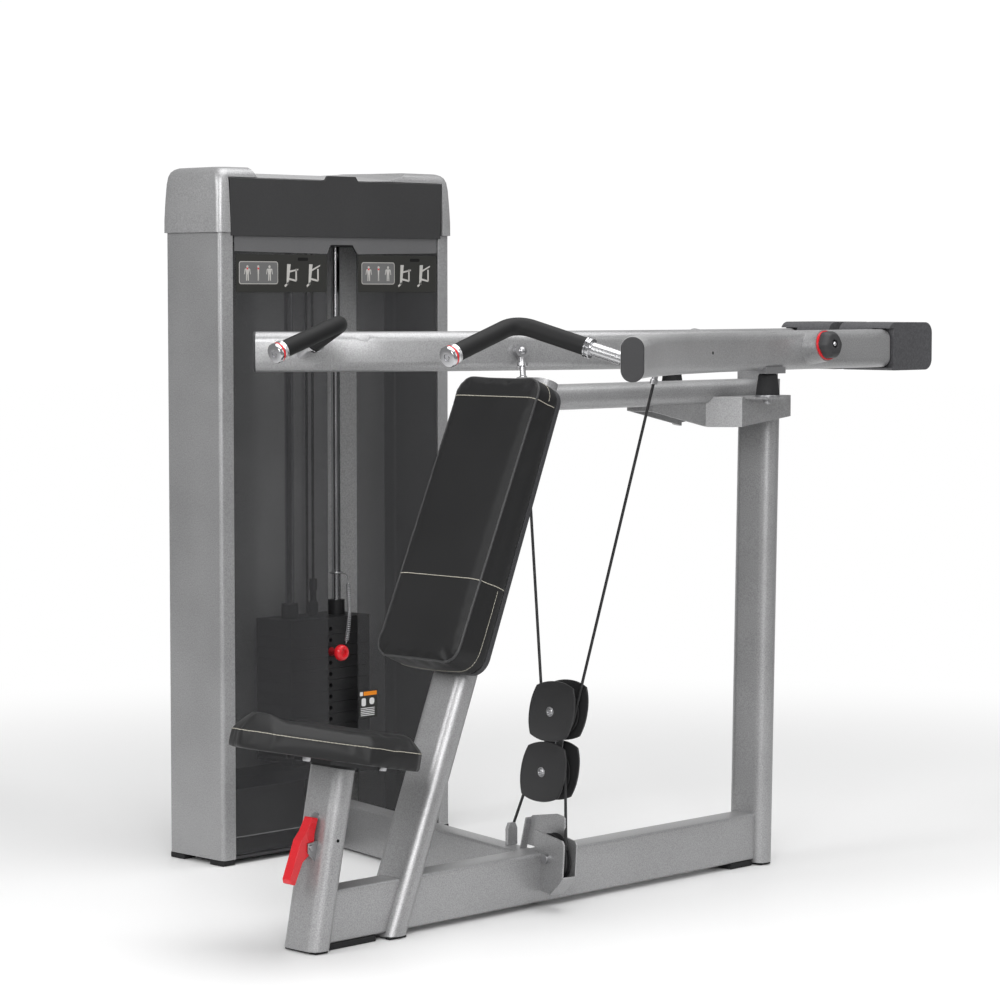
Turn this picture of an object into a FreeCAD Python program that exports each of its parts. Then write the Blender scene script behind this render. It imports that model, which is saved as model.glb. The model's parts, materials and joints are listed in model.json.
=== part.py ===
"""Selectorised shoulder press machine.

Machine axes: X runs across the machine (+X is the user's left, the weight tower stands on the -X side),
-Y is the way the user faces, Z is up. The machine's middle plane is x = 0, the floor is z = 0.
The part's own origin is the centre of the bounding box's floor face, so every placement adds
(origin_x, origin_y) to the machine coordinates.
"""
import FreeCAD, Part
import math
import os

import Sketcher
from FreeCAD import Placement, Rotation, Vector

os.makedirs("parts", exist_ok=True)
doc = FreeCAD.newDocument("shoulder_press")
sheet = doc.addObject("Spreadsheet::Sheet", "dim")

SIZES = {
    "origin_x": (207.65, "machine middle plane, from the part's origin"),
    "origin_y": (-77.16, "machine zero line, from the part's origin"),
    # frame tubes
    "oval_width": (100, "flat-oval post, across the machine"),
    "oval_thick": (50, "flat-oval post, along the machine"),
    "tube_wall": (3, "wall of every frame tube"),
    "base_width": (60, "base tube"),
    "base_height": (100, "base tube and cross tube"),
    "base_bottom": (12, "underside of the base tube"),
    "base_front": (-690, "front end of the base tube"),
    "base_back": (580, "back end of the base tube"),
    "cross_width": (50, "tube from the base to the tower"),
    "cross_bottom": (4, "underside of the cross tube"),
    "cross_angle": (12.7, "cross tube, off the X axis"),
    "cross_line": (-74, "cross tube's middle line at x = 0"),
    "seat_post_foot": (-704, "seat post's middle line at the floor"),
    "seat_lean": (11.4, "seat post, off the vertical"),
    "seat_post_top": (341, "top of the seat post"),
    "back_post_foot": (-507, "back post's middle line at the floor"),
    "back_lean": (22, "back post, off the vertical"),
    "upright_foot": (591, "rear upright's middle line at the floor"),
    "upright_lean": (1.2, "rear upright, off the vertical"),
    "upright_top": (1052, "top of the rear upright"),
    "top_tube_z": (1027, "middle of the top tube"),
    # press arms
    "pivot_y": (607, "arm pivots"),
    "pivot_z": (1096, "where the two pivot axes meet"),
    "pivot_tilt": (9, "pivot axes, outer ends up"),
    "arm_x": (128, "arm's middle line at its pivot"),
    "arm_z": (1116, "arm's middle line"),
    "arm_thick": (43, "arm tube, across"),
    "arm_height": (83, "arm tube, up"),
    "arm_radius": (1409, "arm's bend in plan"),
    "arm_sweep": (43.9, "turn of the arm's bend"),
    "arm_tail": (278, "straight part behind the pivot"),
    "hub_radius": (34, "pivot boss"),
    "shaft_radius": (12.5, "pivot shaft"),
    "running_fit": (0.05, "radial clearance of a shaft in its bore"),
    "grip_x": (240, "handle grip, from the middle plane"),
    "grip_front_y": (-559, "front end of the grip"),
    "grip_front_z": (1121, "front end of the grip"),
    "grip_bend_y": (-384, "corner of the handle"),
    "grip_bend_z": (1180, "corner of the handle"),
    "grip_radius": (17, "rubber grip"),
    "handle_radius": (13, "handle tube"),
    # cables and pulleys
    "cable_radius": (3, "coated steel cable"),
    "pulley_pitch": (45, "cable's line round a pulley"),
    "pulley_rim": (50, "pulley's outer radius"),
    "pulley_width": (16, "pulley"),
    "axle_radius": (6, "pulley axles"),
    "block_y": (-16, "middle plane of the floating pulley block"),
    "block_upper_z": (390, "upper pulley's axle"),
    "block_lower_x": (-24, "lower pulley's axle"),
    "block_lower_z": (264, "lower pulley's axle"),
    "block_gap": (30, "between the block's side plates"),
    "cover_size": (125, "side plates of the block"),
    "base_pulley_x": (54, "base pulley's axle"),
    "base_pulley_z": (104, "base and tower foot pulleys' axles"),
    "ball_radius": (10, "ball of the rod ends on the arms"),
    "clevis_sweep": (21.6, "arm's bend, from the pivot to the cable's clevis"),
    # seat and backrest
    "seat_half": (175, "half the seat's greatest width"),
    "seat_bottom": (14, "underside of the seat pad, along the post from its top"),
    "seat_wall": (36, "height of the seat pad's side"),
    "seat_bevel": (34, "height of the seat pad's bevel"),
    "pad_half": (117, "half the backrest's width"),
    "pad_length": (600, "backrest pad, along its slope"),
    "pad_low": (98, "backrest's depth at its lower end"),
    "pad_high": (75, "backrest's depth at its upper end"),
    "pad_base": (490, "lower end of the backrest, up the post's front face"),
    # tower and weight stack
    "tower_front": (-768, "front plane of the tower"),
    "tower_outer": (-950, "outer plane of the tower"),
    "tower_near": (-256, "tower's end nearest the seat's side"),
    "tower_far": (428, "tower's other end"),
    "tower_top": (1366, "top of the side columns"),
    "cap_top": (1506, "top of the tower's cap"),
    "stack_x": (-861, "middle of the weight stack"),
    "stack_y": (90, "middle of the weight stack"),
    "stack_bottom": (196, "underside of the weight stack"),
    "plate_pitch": (25.4, "from one weight plate to the next"),
    "plate_thick": (24.8, "weight plate"),
    "plate_depth": (116, "weight plate, front to back"),
    "plate_width": (236, "weight plate, side to side"),
    "plate_count": (11, "plates below the top plate"),
    "carried_count": (2, "plates that the selector pin carries"),
    "top_plate_thick": (37, "top plate"),
    "rod_spacing": (140, "between the guide rods"),
    "rod_radius": (10, "guide rods"),
    "rod_top": (1340, "top of the guide rods"),
    "slot_near": (54, "selector slot's edge on the seat's side"),
    "slot_far": (145, "selector slot's other edge"),
}
for row, (name, (value, note)) in enumerate(SIZES.items(), start=1):
    sheet.set(f"A{row}", note)
    sheet.set(f"B{row}", str(value))
    sheet.setAlias(f"B{row}", name)
doc.recompute()

X, Y, Z = Vector(1, 0, 0), Vector(0, 1, 0), Vector(0, 0, 1)
LARGE = 3000.0
nodes = []


# ---------------------------------------------------------------- helpers

def num(value):
    """A length or angle, given as a number or as an expression on the sheet's aliases."""
    if isinstance(value, str):
        return float(sheet.evalExpression(value))
    return float(value)


def bind(obj, prop, value):
    """Bind a property to an expression, or set a plain number."""
    if isinstance(value, str):
        obj.setExpression(prop, value)
    else:
        setattr(obj, prop, value)


def point(x, y, z):
    """A point in machine coordinates, as a vector in the part's frame."""
    return Vector(num(x) + num("dim.origin_x"), num(y) + num("dim.origin_y"), num(z))


def at(x, y, z, rotation=None):
    return Placement(point(x, y, z), rotation or Rotation())


def axes(x_axis, z_axis):
    """The rotation that turns local X and Z to the given directions."""
    return Rotation(x_axis, z_axis.cross(x_axis), z_axis, "ZXY")


def keep(obj, label):
    """Record an object as a piece of the machine."""
    obj.Label = label
    nodes.append(obj)
    return obj


def box(label, size, corner):
    """A box from its size and its lowest corner in machine coordinates."""
    obj = doc.addObject("Part::Box", label)
    for prop, value in zip(("Length", "Width", "Height"), size):
        bind(obj, prop, value)
    obj.Placement = at(*corner)
    return obj


def rod(label, radius, length, start, direction=Z):
    """A round bar from its start, in machine coordinates, along a direction."""
    obj = doc.addObject("Part::Cylinder", label)
    bind(obj, "Radius", radius)
    bind(obj, "Height", length)
    obj.Placement = Placement(point(*start), Rotation(Z, direction))
    return obj


def bar(label, radius, start, end):
    """A round bar between two points of the part's frame."""
    obj = doc.addObject("Part::Cylinder", label)
    bind(obj, "Radius", radius)
    obj.Height = (end - start).Length
    obj.Placement = Placement(start, Rotation(Z, end - start))
    return obj


def cable(label, start, end):
    return bar(label, "dim.cable_radius", start, end)


def ball(label, radius, centre):
    obj = doc.addObject("Part::Sphere", label)
    bind(obj, "Radius", radius)
    obj.Placement = Placement(centre, Rotation())
    return obj


def fuse(label, parts):
    obj = doc.addObject("Part::MultiFuse", label)
    obj.Shapes = parts
    return obj


def group(label, parts):
    """Separate solids that share one node, such as a set of bolts."""
    obj = doc.addObject("Part::Compound", label)
    obj.Links = parts
    return obj


def cut(label, base, tools):
    tool = tools[0] if len(tools) == 1 else fuse(label + "_tools", tools)
    obj = doc.addObject("Part::Cut", label)
    obj.Base, obj.Tool = base, tool
    return obj


def mirror(label, source, normal=X, base=(0, 0, 0)):
    """The same piece on the other side of a plane, the machine's middle plane unless another is given."""
    obj = doc.addObject("Part::Mirroring", label)
    obj.Source = source
    obj.Normal = normal
    obj.Base = point(*base)
    return obj


def feature(label, shape):
    """A piece whose shape comes from Part's own functions, built in the part's frame."""
    obj = doc.addObject("Part::Feature", label)
    obj.Shape = shape
    obj.Placement = Placement()
    return obj


def new_sketch(body, plane="XY_Plane", offset=0):
    sketch = body.newObject("Sketcher::SketchObject", body.Name + "_sketch")
    role = next(item for item in body.Origin.OriginFeatures if item.Role == plane)
    sketch.AttachmentSupport = [(role, "")]
    sketch.MapMode = "FlatFace"
    sketch.AttachmentOffset = Placement(Vector(0, 0, num(offset)), Rotation())
    return sketch


def dimension(sketch, kind, *refs):
    """A driving dimension: the last reference is its value, a number or an expression."""
    *where, value = refs
    index = sketch.addConstraint(Sketcher.Constraint(kind, *where, num(value)))
    if isinstance(value, str):
        name = f"size{index}"
        sketch.renameConstraint(index, name)
        sketch.setExpression("Constraints." + name, value)


def draw_oval(sketch, width, height):
    """A flat oval, long across the sketch's X axis, centred on the origin."""
    reach, radius = (num(width) - num(height)) / 2, num(height) / 2
    first = sketch.GeometryCount
    quarter = math.pi / 2
    sketch.addGeometry(Part.ArcOfCircle(Part.Circle(Vector(-reach, 0, 0), Z, radius), quarter, 3 * quarter))
    sketch.addGeometry(Part.LineSegment(Vector(-reach, -radius, 0), Vector(reach, -radius, 0)))
    sketch.addGeometry(Part.ArcOfCircle(Part.Circle(Vector(reach, 0, 0), Z, radius), -quarter, quarter))
    sketch.addGeometry(Part.LineSegment(Vector(reach, radius, 0), Vector(-reach, radius, 0)))
    for here, after in ((0, 1), (1, 2), (2, 3), (3, 0)):
        sketch.addConstraint(Sketcher.Constraint("Tangent", first + here, 2, first + after, 1))
    sketch.addConstraint(Sketcher.Constraint("Horizontal", first + 1))
    sketch.addConstraint(Sketcher.Constraint("Symmetric", first, 3, first + 2, 3, -1, 1))
    dimension(sketch, "Radius", first, f"({height}) / 2")
    dimension(sketch, "DistanceX", first, 3, first + 2, 3, f"({width}) - ({height})")


def draw_polygon(sketch, points):
    """A closed outline; each corner is dimensioned from the sketch's origin."""
    first = sketch.GeometryCount
    corners = [Vector(num(x), num(y), 0) for x, y in points]
    for here, after in zip(corners, corners[1:] + corners[:1]):
        sketch.addGeometry(Part.LineSegment(here, after))
    count = len(corners)
    for i, (x, y) in enumerate(points):
        sketch.addConstraint(Sketcher.Constraint("Coincident", first + i, 2, first + (i + 1) % count, 1))
        dimension(sketch, "DistanceX", -1, 1, first + i, 1, x)
        dimension(sketch, "DistanceY", -1, 1, first + i, 1, y)


def draw_rectangle(sketch, width, height):
    half_w, half_h = f"({width}) / 2", f"({height}) / 2"
    low_w, low_h = f"-({width}) / 2", f"-({height}) / 2"
    draw_polygon(sketch, [(low_w, low_h), (half_w, low_h), (half_w, half_h), (low_w, half_h)])


def draw_circle(sketch, x, y, radius):
    index = sketch.addGeometry(Part.Circle(Vector(num(x), num(y), 0), Z, num(radius)))
    dimension(sketch, "Radius", index, radius)
    dimension(sketch, "DistanceX", -1, 1, index, 3, x)
    dimension(sketch, "DistanceY", -1, 1, index, 3, y)


def pad(body, sketch, length, side="One side"):
    step = body.newObject("PartDesign::Pad", body.Name + "_pad")
    step.Profile = sketch
    step.SideType = side
    bind(step, "Length", length)
    body.Tip = step
    return step


def new_body(label, placement):
    body = doc.addObject("PartDesign::Body", label)
    body.Placement = placement
    return body


def plate(label, points, thickness, placement, holes=(), rounding=None):
    """A plate of the given outline, its middle plane on local XY, with round holes (x, y, radius).

    rounding is (radius, test): the upright edges at the local places that pass the test are rounded.
    """
    body = new_body(label, placement)
    sketch = new_sketch(body)
    draw_polygon(sketch, points)
    for x, y, radius in holes:
        draw_circle(sketch, x, y, radius)
    step = pad(body, sketch, thickness, "Symmetric")
    if rounding:
        round_edges(body, step, *rounding)
    return body


def round_edges(body, step, radius, test):
    """Round the edges of a body's last step whose middle point passes the test."""
    doc.recompute()
    names = [f"Edge{i}" for i, edge in enumerate(step.Shape.Edges, start=1)
             if edge.Length > 0.01 and test(edge)]
    fillet = body.newObject("PartDesign::Fillet", body.Name + "_fillet")
    fillet.Base = (step, names)
    bind(fillet, "Radius", radius)
    body.Tip = fillet
    return fillet


def along(axis):
    """A test for straight edges that run along a local axis."""
    def test(edge):
        straight = edge.Curve.TypeId == "Part::GeomLine"
        return straight and abs(edge.tangentAt(edge.FirstParameter).dot(axis)) > 0.999
    return test


def tube(label, draw, width, height, length, placement, wall="dim.tube_wall"):
    """A tube along local Z; with wall None it is the solid bar that fills its outside."""
    body = new_body(label, placement)
    sketch = new_sketch(body)
    draw(sketch, width, height)
    if wall:
        draw(sketch, f"{width} - 2 * {wall}", f"{height} - 2 * {wall}")
    pad(body, sketch, length)
    return body


def turned(label, profile, placement):
    """A piece turned about local Z from its (radius, height) profile."""
    body = new_body(label, placement)
    sketch = new_sketch(body, "XZ_Plane")
    draw_polygon(sketch, profile)
    turn = body.newObject("PartDesign::Revolution", label + "_turn")
    turn.Profile = sketch
    turn.ReferenceAxis = (sketch, ["V_Axis"])
    turn.Angle = 360
    body.Tip = turn
    return body


def pulley(label, placement, pitch="dim.pulley_pitch", rim="dim.pulley_rim"):
    """A grooved pulley about local Z, bored to run on an axle."""
    bore = "dim.axle_radius + dim.running_fit"
    root = f"{pitch} - dim.cable_radius - 0.5"
    half, low = "dim.pulley_width / 2", "-dim.pulley_width / 2"
    return turned(label, [(bore, low), (rim, low), (rim, f"{low} + 2"), (root, "-3.6"),
                          (root, "3.6"), (rim, f"{half} - 2"), (rim, half), (bore, half)], placement)


def bolt(label, start, direction, length, shank="dim.axle_radius", head=10, head_length=7):
    """A bolt whose shank runs from start along direction, with a head outside each end."""
    end = Vector(*[num(v) for v in start]) + direction * num(length)
    return fuse(label, [
        rod(label + "_shank", shank, length, start, direction),
        rod(label + "_head", head, head_length, start, direction * -1),
        rod(label + "_nut", head, head_length, tuple(end), direction)])


def round_sweep(points, radius, bends):
    """A round bar along straight runs joined by tangent arcs; bends gives each corner's radius."""
    path = [Vector(*p) for p in points]
    edges, start = [], path[0]
    for before, corner, after, bend in zip(path, path[1:], path[2:], bends):
        into, out = (before - corner).normalize(), (after - corner).normalize()
        half_turn = (math.pi - into.getAngle(out)) / 2
        reach = bend * math.tan(half_turn)
        first, last = corner + into * reach, corner + out * reach
        middle_way = (into + out).normalize()
        centre = corner + middle_way * (bend / math.cos(half_turn))
        middle = centre - middle_way * bend
        if (first - start).Length > 1e-6:
            edges.append(Part.LineSegment(start, first).toShape())
        edges.append(Part.Arc(first, middle, last).toShape())
        start = last
    edges.append(Part.LineSegment(start, path[-1]).toShape())
    spine = Part.Wire(edges)
    tangent = (edges[0].valueAt(edges[0].LastParameter) - path[0]).normalize()
    if len(edges) > 1 and (path[1] - path[0]).Length > 1e-6:
        tangent = (path[1] - path[0]).normalize()
    profile = Part.Wire(Part.makeCircle(radius, path[0], tangent))
    return spine.makePipeShell([profile], True, False, 1)


# ---------------------------------------------------------------- frame

OVAL = ("dim.oval_width", "dim.oval_thick")
BACK = Vector(0, 1, 0)
FRONT = Vector(0, -1, 0)


def leaning(angle):
    """Local Z leans back by an angle; local X stays across the machine."""
    lean = math.radians(num(angle))
    return axes(X, Vector(0, math.sin(lean), math.cos(lean)))


def post(label, foot, lean, top, wall="dim.tube_wall"):
    """A flat-oval post that starts 40 mm below the floor, to be cut level."""
    place = at(0, f"{foot} - 40 * tan({lean})", -40, leaning(lean))
    return tube(label, draw_oval, *OVAL, f"({top} + 40) / cos({lean})", place, wall)


SEAT_POST = ("dim.seat_post_foot", "dim.seat_lean", "dim.seat_post_top")
BACK_POST = ("dim.back_post_foot", "dim.back_lean", "dim.top_tube_z + 29")
UPRIGHT = ("dim.upright_foot", "dim.upright_lean", "dim.upright_top + 20")
PLUG = 4
floor_space = box("floor_space", (LARGE, LARGE, 105), (-1500, -1500, -100))
over_upright = box("over_upright", (200, 200, 200), (-100, "dim.upright_foot - 80", "dim.upright_top"))
seat_post_fill = post("seat_post_fill", *SEAT_POST, wall=None)
back_post_fill = post("back_post_fill", *BACK_POST[:2], f"{BACK_POST[2]} + {PLUG}", wall=None)
upright_fill = post("upright_fill", *UPRIGHT, wall=None)
base_length = "dim.base_back - dim.base_front"
base_place = at(0, "dim.base_front", "dim.base_bottom + dim.base_height / 2", axes(X, BACK))
BASE = (draw_rectangle, "dim.base_width", "dim.base_height", base_length, base_place)
base_fill = tube("base_fill", *BASE, wall=None)

cross_turn = math.radians(num("dim.cross_angle"))
ALONG_CROSS = Vector(math.cos(cross_turn), -math.sin(cross_turn), 0)
ACROSS_CROSS = Vector(math.sin(cross_turn), math.cos(cross_turn), 0)


def on_cross(x, z):
    """A point over the cross tube's middle line."""
    return (x, f"dim.cross_line - tan(dim.cross_angle) * ({x})", z)


cross_place = at(*on_cross("dim.tower_front - 64", "dim.cross_bottom + dim.base_height / 2"),
                 axes(ACROSS_CROSS * -1, ALONG_CROSS))
cross_length = "(64 - dim.tower_front) / cos(dim.cross_angle)"
CROSS = (draw_rectangle, "dim.cross_width", "dim.base_height", cross_length, cross_place)
cross_fill = tube("cross_fill", *CROSS, wall=None)

# the base pulley stands half inside the base tube's side, and its cable crosses the tube
base_centre = point(*on_cross("dim.base_pulley_x", "dim.base_pulley_z"))
slot_half = ACROSS_CROSS * 12
pulley_slot = bar("pulley_slot", "dim.pulley_rim + 3", base_centre - slot_half, base_centre + slot_half)
passage_floor = "dim.base_pulley_z - dim.pulley_pitch - 13"
pulley_passage = box("pulley_passage", (200, 40, 26), (-100, -94, passage_floor))
base_tools = [seat_post_fill, upright_fill, pulley_passage, pulley_slot]
keep(cut("base_tube_cut", tube("base_bar", *BASE), base_tools), "base_tube")
keep(cut("cross_tube_cut", tube("cross_bar", *CROSS), [base_fill]), "cross_tube")

post_head = ("dim.seat_post_foot + tan(dim.seat_lean) * dim.seat_post_top", "dim.seat_post_top")
SEAT_TURN = leaning("dim.seat_lean")
post_up, post_back = SEAT_TURN.multVec(Z), SEAT_TURN.multVec(Y)


def on_seat_post(height):
    """A place on the seat post's middle line, a height along the post from its top."""
    return Placement(point(0, *post_head) + post_up * num(height), SEAT_TURN)


LATCH_DROP = -97
latch_line = on_seat_post(LATCH_DROP).Base
latch_hole = bar("latch_hole", 7, latch_line, latch_line - post_back * 40)
keep(cut("seat_post_cut", post("seat_post_bar", *SEAT_POST), [floor_space, latch_hole]), "seat_post")
back_post = cut("back_post_cut", post("back_post_bar", *BACK_POST), [floor_space, base_fill])
keep(cut("upright_cut", post("upright_bar", *UPRIGHT), [floor_space, over_upright]), "rear_upright")

top_length = "dim.upright_foot + 20 - (dim.back_post_foot + tan(dim.back_lean) * dim.top_tube_z)"
top_place = at(0, "dim.back_post_foot + tan(dim.back_lean) * dim.top_tube_z", "dim.top_tube_z", axes(X, BACK))
top_fill = tube("top_fill", draw_oval, *OVAL, top_length, top_place, None)
top_bar = tube("top_bar", draw_oval, *OVAL, top_length, top_place)
keep(cut("top_tube_cut", top_bar, [back_post_fill, upright_fill]), "top_tube")

post_end = "dim.top_tube_z + 29"
BACK_TURN = leaning("dim.back_lean")
plug_place = at(0, f"dim.back_post_foot + tan(dim.back_lean) * ({post_end})", post_end, BACK_TURN)
post_plug = tube("post_plug", draw_oval, *OVAL, PLUG, plug_place, None)
keep(fuse("back_post_closed", [back_post, post_plug]), "back_post")

# rubber feet under the posts, the base tube and the tower
FEET = [(-44, "dim.seat_post_foot - 16", 88, 32, 5),
        (-30, "dim.seat_post_foot + 32", 60, 120, "dim.base_bottom"),
        (-44, "dim.back_post_foot - 22", 14, 44, 5), (30, "dim.back_post_foot - 22", 14, 44, 5),
        (-30, "dim.upright_foot - 100", 60, 70, "dim.base_bottom"),
        (-44, "dim.upright_foot - 16", 88, 32, 5),
        ("dim.tower_front - 60", 80, 44, 44, "dim.cross_bottom"), (-200, -50, 44, 44, "dim.cross_bottom")]
FEET += [(x, y, 46, 34, "dim.base_bottom") for x in ("dim.tower_outer + 2", "dim.tower_front - 48")
         for y in ("dim.tower_near + 1", "dim.tower_far - 35")]
feet = [box(f"foot_{i}", foot[2:], (*foot[:2], 0)) for i, foot in enumerate(FEET)]
rod_places = [("dim.stack_x", f"dim.stack_y + {side} * dim.rod_spacing / 2") for side in (-1, 1)]
# rubber rings round the guide rods, under the stack
STOP, STOP_RADIUS, STOP_BORE = 13, 24, "dim.rod_radius + 0.1"
for i, place in enumerate(rod_places):
    stop_profile = [(STOP_BORE, 0), (STOP_RADIUS, 0), (STOP_RADIUS, STOP), (STOP_BORE, STOP)]
    feet.append(turned(f"stack_stop_{i}", stop_profile, at(*place, f"dim.stack_bottom - {STOP}")))
keep(group("feet_group", feet), "rubber_feet")

# ---------------------------------------------------------------- pivots at the top of the upright

tilt = math.radians(num("dim.pivot_tilt"))
LEFT_AXIS = Vector(math.cos(tilt), 0, math.sin(tilt))
RIGHT_AXIS = Vector(-math.cos(tilt), 0, math.sin(tilt))
PIVOT = (0, "dim.pivot_y", "dim.pivot_z")


def on_axis(distance):
    """A point on the left pivot axis, as machine coordinates."""
    across, up = f"cos(dim.pivot_tilt) * ({distance})", f"sin(dim.pivot_tilt) * ({distance})"
    return (across, "dim.pivot_y", f"dim.pivot_z + {up}")


def opposite(place):
    return (f"-({place[0]})", place[1], place[2])


BEAM = 32
beam_block = box("beam_block", (60, 2 * BEAM, "dim.pivot_z - dim.upright_top"),
                 (-30, f"dim.pivot_y - {BEAM}", "dim.upright_top"))
beam_parts = [rod("beam_left", BEAM, 100, PIVOT, LEFT_AXIS), rod("beam_right", BEAM, 100, PIVOT, RIGHT_AXIS),
              beam_block]
shaft_fills = [rod("shaft_fill_left", "dim.shaft_radius", 200, PIVOT, LEFT_AXIS),
               rod("shaft_fill_right", "dim.shaft_radius", 200, PIVOT, RIGHT_AXIS)]
keep(cut("beam_cut", fuse("beam_bars", beam_parts), shaft_fills), "pivot_beam")
shafts = [rod("shaft_left", "dim.shaft_radius", 150, on_axis(49), LEFT_AXIS),
          rod("shaft_right", "dim.shaft_radius", 150, opposite(on_axis(49)), RIGHT_AXIS)]
keep(group("shafts", shafts), "pivot_shafts")

# ---------------------------------------------------------------- bumper bracket under the top tube

BRACKET_TOP, BRACKET_WALL = 1019, 5
BUMPER_X, BUMPER_Y = 134, 480


def bracket_prism(label, inset):
    """The bracket's outline: narrow at the front, flaring to full width at the bumpers."""
    slim, wide = 36 - inset, 98 - inset
    plan = [(-slim, 228 + inset), (slim, 228 + inset), (slim, 395), (wide, 440 + inset), (wide, 600),
            (-wide, 600), (-wide, 440 + inset), (-slim, 395)]
    side = [(228, 992 - 20 * inset), (400, 955 - 20 * inset), (430, 955 - 20 * inset), (600, 974 - 20 * inset),
            (600, BRACKET_TOP - inset), (228, BRACKET_TOP - inset)]
    plan_block = plate(label + "_plan", plan, 400, at(0, 0, 1000))
    side_block = plate(label + "_side", side, 400, at(0, 0, 0, axes(BACK, X)))
    common = doc.addObject("Part::MultiCommon", label)
    common.Shapes = [plan_block, side_block]
    return common


lugs = box("bumper_lugs", (320, 60, BRACKET_WALL), (-160, 450, BRACKET_TOP - BRACKET_WALL))
stud_holes = [rod(f"stud_hole_{side}", 5, 40, (side * BUMPER_X, BUMPER_Y, 1000)) for side in (-1, 1)]
bracket_hollow = bracket_prism("bracket_inner", BRACKET_WALL)
shell = cut("bracket_shell", bracket_prism("bracket_outer", 0), [bracket_hollow])
bracket_tools = [top_fill, upright_fill] + stud_holes
keep(cut("bracket_cut", fuse("bracket_plates", [shell, lugs]), bracket_tools), "bumper_bracket")

BUMPER_PROFILE = [(5, 4), (25, 4), (25, 8), (20, 45), (17, 48.6), (5, 48.6)]
BUMPER_BOLT_PROFILE = [(0, -16), (4, -16), (4, -14), (9, -14), (9, -5.5), (4.9, -5.5), (4.9, 0), (27, 0), (27, 4),
                       (4.9, 4), (4.9, 46), (0, 46)]
bumpers, fixings = [], []
for side in (-1, 1):
    place = at(side * BUMPER_X, BUMPER_Y, BRACKET_TOP)
    bumpers.append(turned(f"bumper_{side}", BUMPER_PROFILE, place))
    fixings.append(turned(f"bumper_bolt_{side}", BUMPER_BOLT_PROFILE, place))
keep(group("bumper_pair", bumpers), "arm_bumpers")

# ---------------------------------------------------------------- press arms

UP_FORWARD = axes(Z, FRONT)
ARM = ("dim.arm_height", "dim.arm_thick")
TAIL_CAP = 20


def arm_bar(label, wall):
    """An arm: a straight tail behind its pivot and a bend in plan ahead of it; local Z runs forward."""
    body = new_body(label, at("dim.arm_x", "dim.pivot_y", "dim.arm_z", UP_FORWARD))
    sketch = new_sketch(body)
    draw_oval(sketch, *ARM)
    if wall:
        draw_oval(sketch, f"{ARM[0]} - 2 * {wall}", f"{ARM[1]} - 2 * {wall}")
    line = sketch.addGeometry(Part.LineSegment(Vector(-10, -num("dim.arm_radius"), 0),
                                               Vector(10, -num("dim.arm_radius"), 0)), True)
    sketch.addConstraint(Sketcher.Constraint("Horizontal", line))
    dimension(sketch, "DistanceY", -1, 1, line, 1, "-dim.arm_radius")
    dimension(sketch, "DistanceX", -1, 1, line, 1, -10)
    dimension(sketch, "DistanceX", line, 1, line, 2, 20)
    turn = body.newObject("PartDesign::Revolution", label + "_bend")
    turn.Profile = sketch
    turn.ReferenceAxis = (sketch, ["Axis0"])
    bind(turn, "Angle", "dim.arm_sweep")
    tail = pad(body, sketch, f"dim.arm_tail - {TAIL_CAP}")
    tail.Reversed = True
    return body


def on_arm(sweep, out=0):
    """A point on the arm's middle line at a turn of its bend, moved out from its convex side."""
    reach = f"(dim.arm_radius + ({out}))"
    return (f"dim.arm_x + dim.arm_radius - {reach} * cos({sweep})", f"dim.pivot_y - {reach} * sin({sweep})",
            "dim.arm_z")


def arm_forward(sweep):
    angle = math.radians(num(sweep))
    return Vector(math.sin(angle), -math.cos(angle), 0)


def arm_outward(sweep):
    """Square to the arm's convex side, towards the user."""
    angle = math.radians(num(sweep))
    return Vector(-math.cos(angle), -math.sin(angle), 0)


arm_fill = arm_bar("arm_fill", None)
hub_fill = rod("hub_fill", "dim.hub_radius", 86, on_axis(103), LEFT_AXIS)
handle_seat = point(*on_arm(40, "dim.arm_thick / 2"))
BALL_OUT = 36
ball_place = point(*on_arm("dim.clevis_sweep", BALL_OUT))


def pair(left_label, right_label, obj):
    """Keep a left-hand piece and its mirror image."""
    keep(obj, left_label)
    keep(mirror(right_label, obj), right_label)


end_place = Placement(point(*on_arm("dim.arm_sweep")), axes(Z, arm_forward("dim.arm_sweep")))
front_plug = tube("front_plug", draw_oval, *ARM, 5, end_place, None)
tail_place = at("dim.arm_x", f"dim.pivot_y + dim.arm_tail - {TAIL_CAP}", "dim.arm_z", axes(Z, BACK))
tail_plug = tube("tail_plug", draw_oval, *ARM, TAIL_CAP, tail_place, None)
round_edges(tail_plug, tail_plug.Tip, 12, lambda edge: abs(edge.CenterOfMass.z - TAIL_CAP) < 0.01)
pair("arm_end_cap_left", "arm_end_cap_right", front_plug)

bearing_fill = rod("bearing_fill", 20, 100, on_axis(100), LEFT_AXIS)
hub = cut("hub_cut", rod("hub_bar", "dim.hub_radius", 86, on_axis(103), LEFT_AXIS), [bearing_fill])
arm_tube = cut("arm_cut", arm_bar("arm_bar", "dim.tube_wall"), [hub_fill])
wear_plate = cut("wear_cut", box("wear_bar", (44, 64, 14), (112, 448, 1068)), [arm_fill])
outward = arm_outward("dim.clevis_sweep")
stud_foot = on_arm("dim.clevis_sweep", "dim.arm_thick / 2")
ball_stud = fuse("ball_stud", [rod("stud_bar", 5, f"{BALL_OUT} - dim.arm_thick / 2", stud_foot, outward),
                               rod("stud_flange", 12, 3, stud_foot, outward),
                               ball("stud_ball", "dim.ball_radius", ball_place)])
welded_arm = fuse("welded_arm", [arm_tube, hub, tail_plug])
pair("press_arm_left", "press_arm_right", group("press_arm", [welded_arm, wear_plate, ball_stud]))

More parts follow.
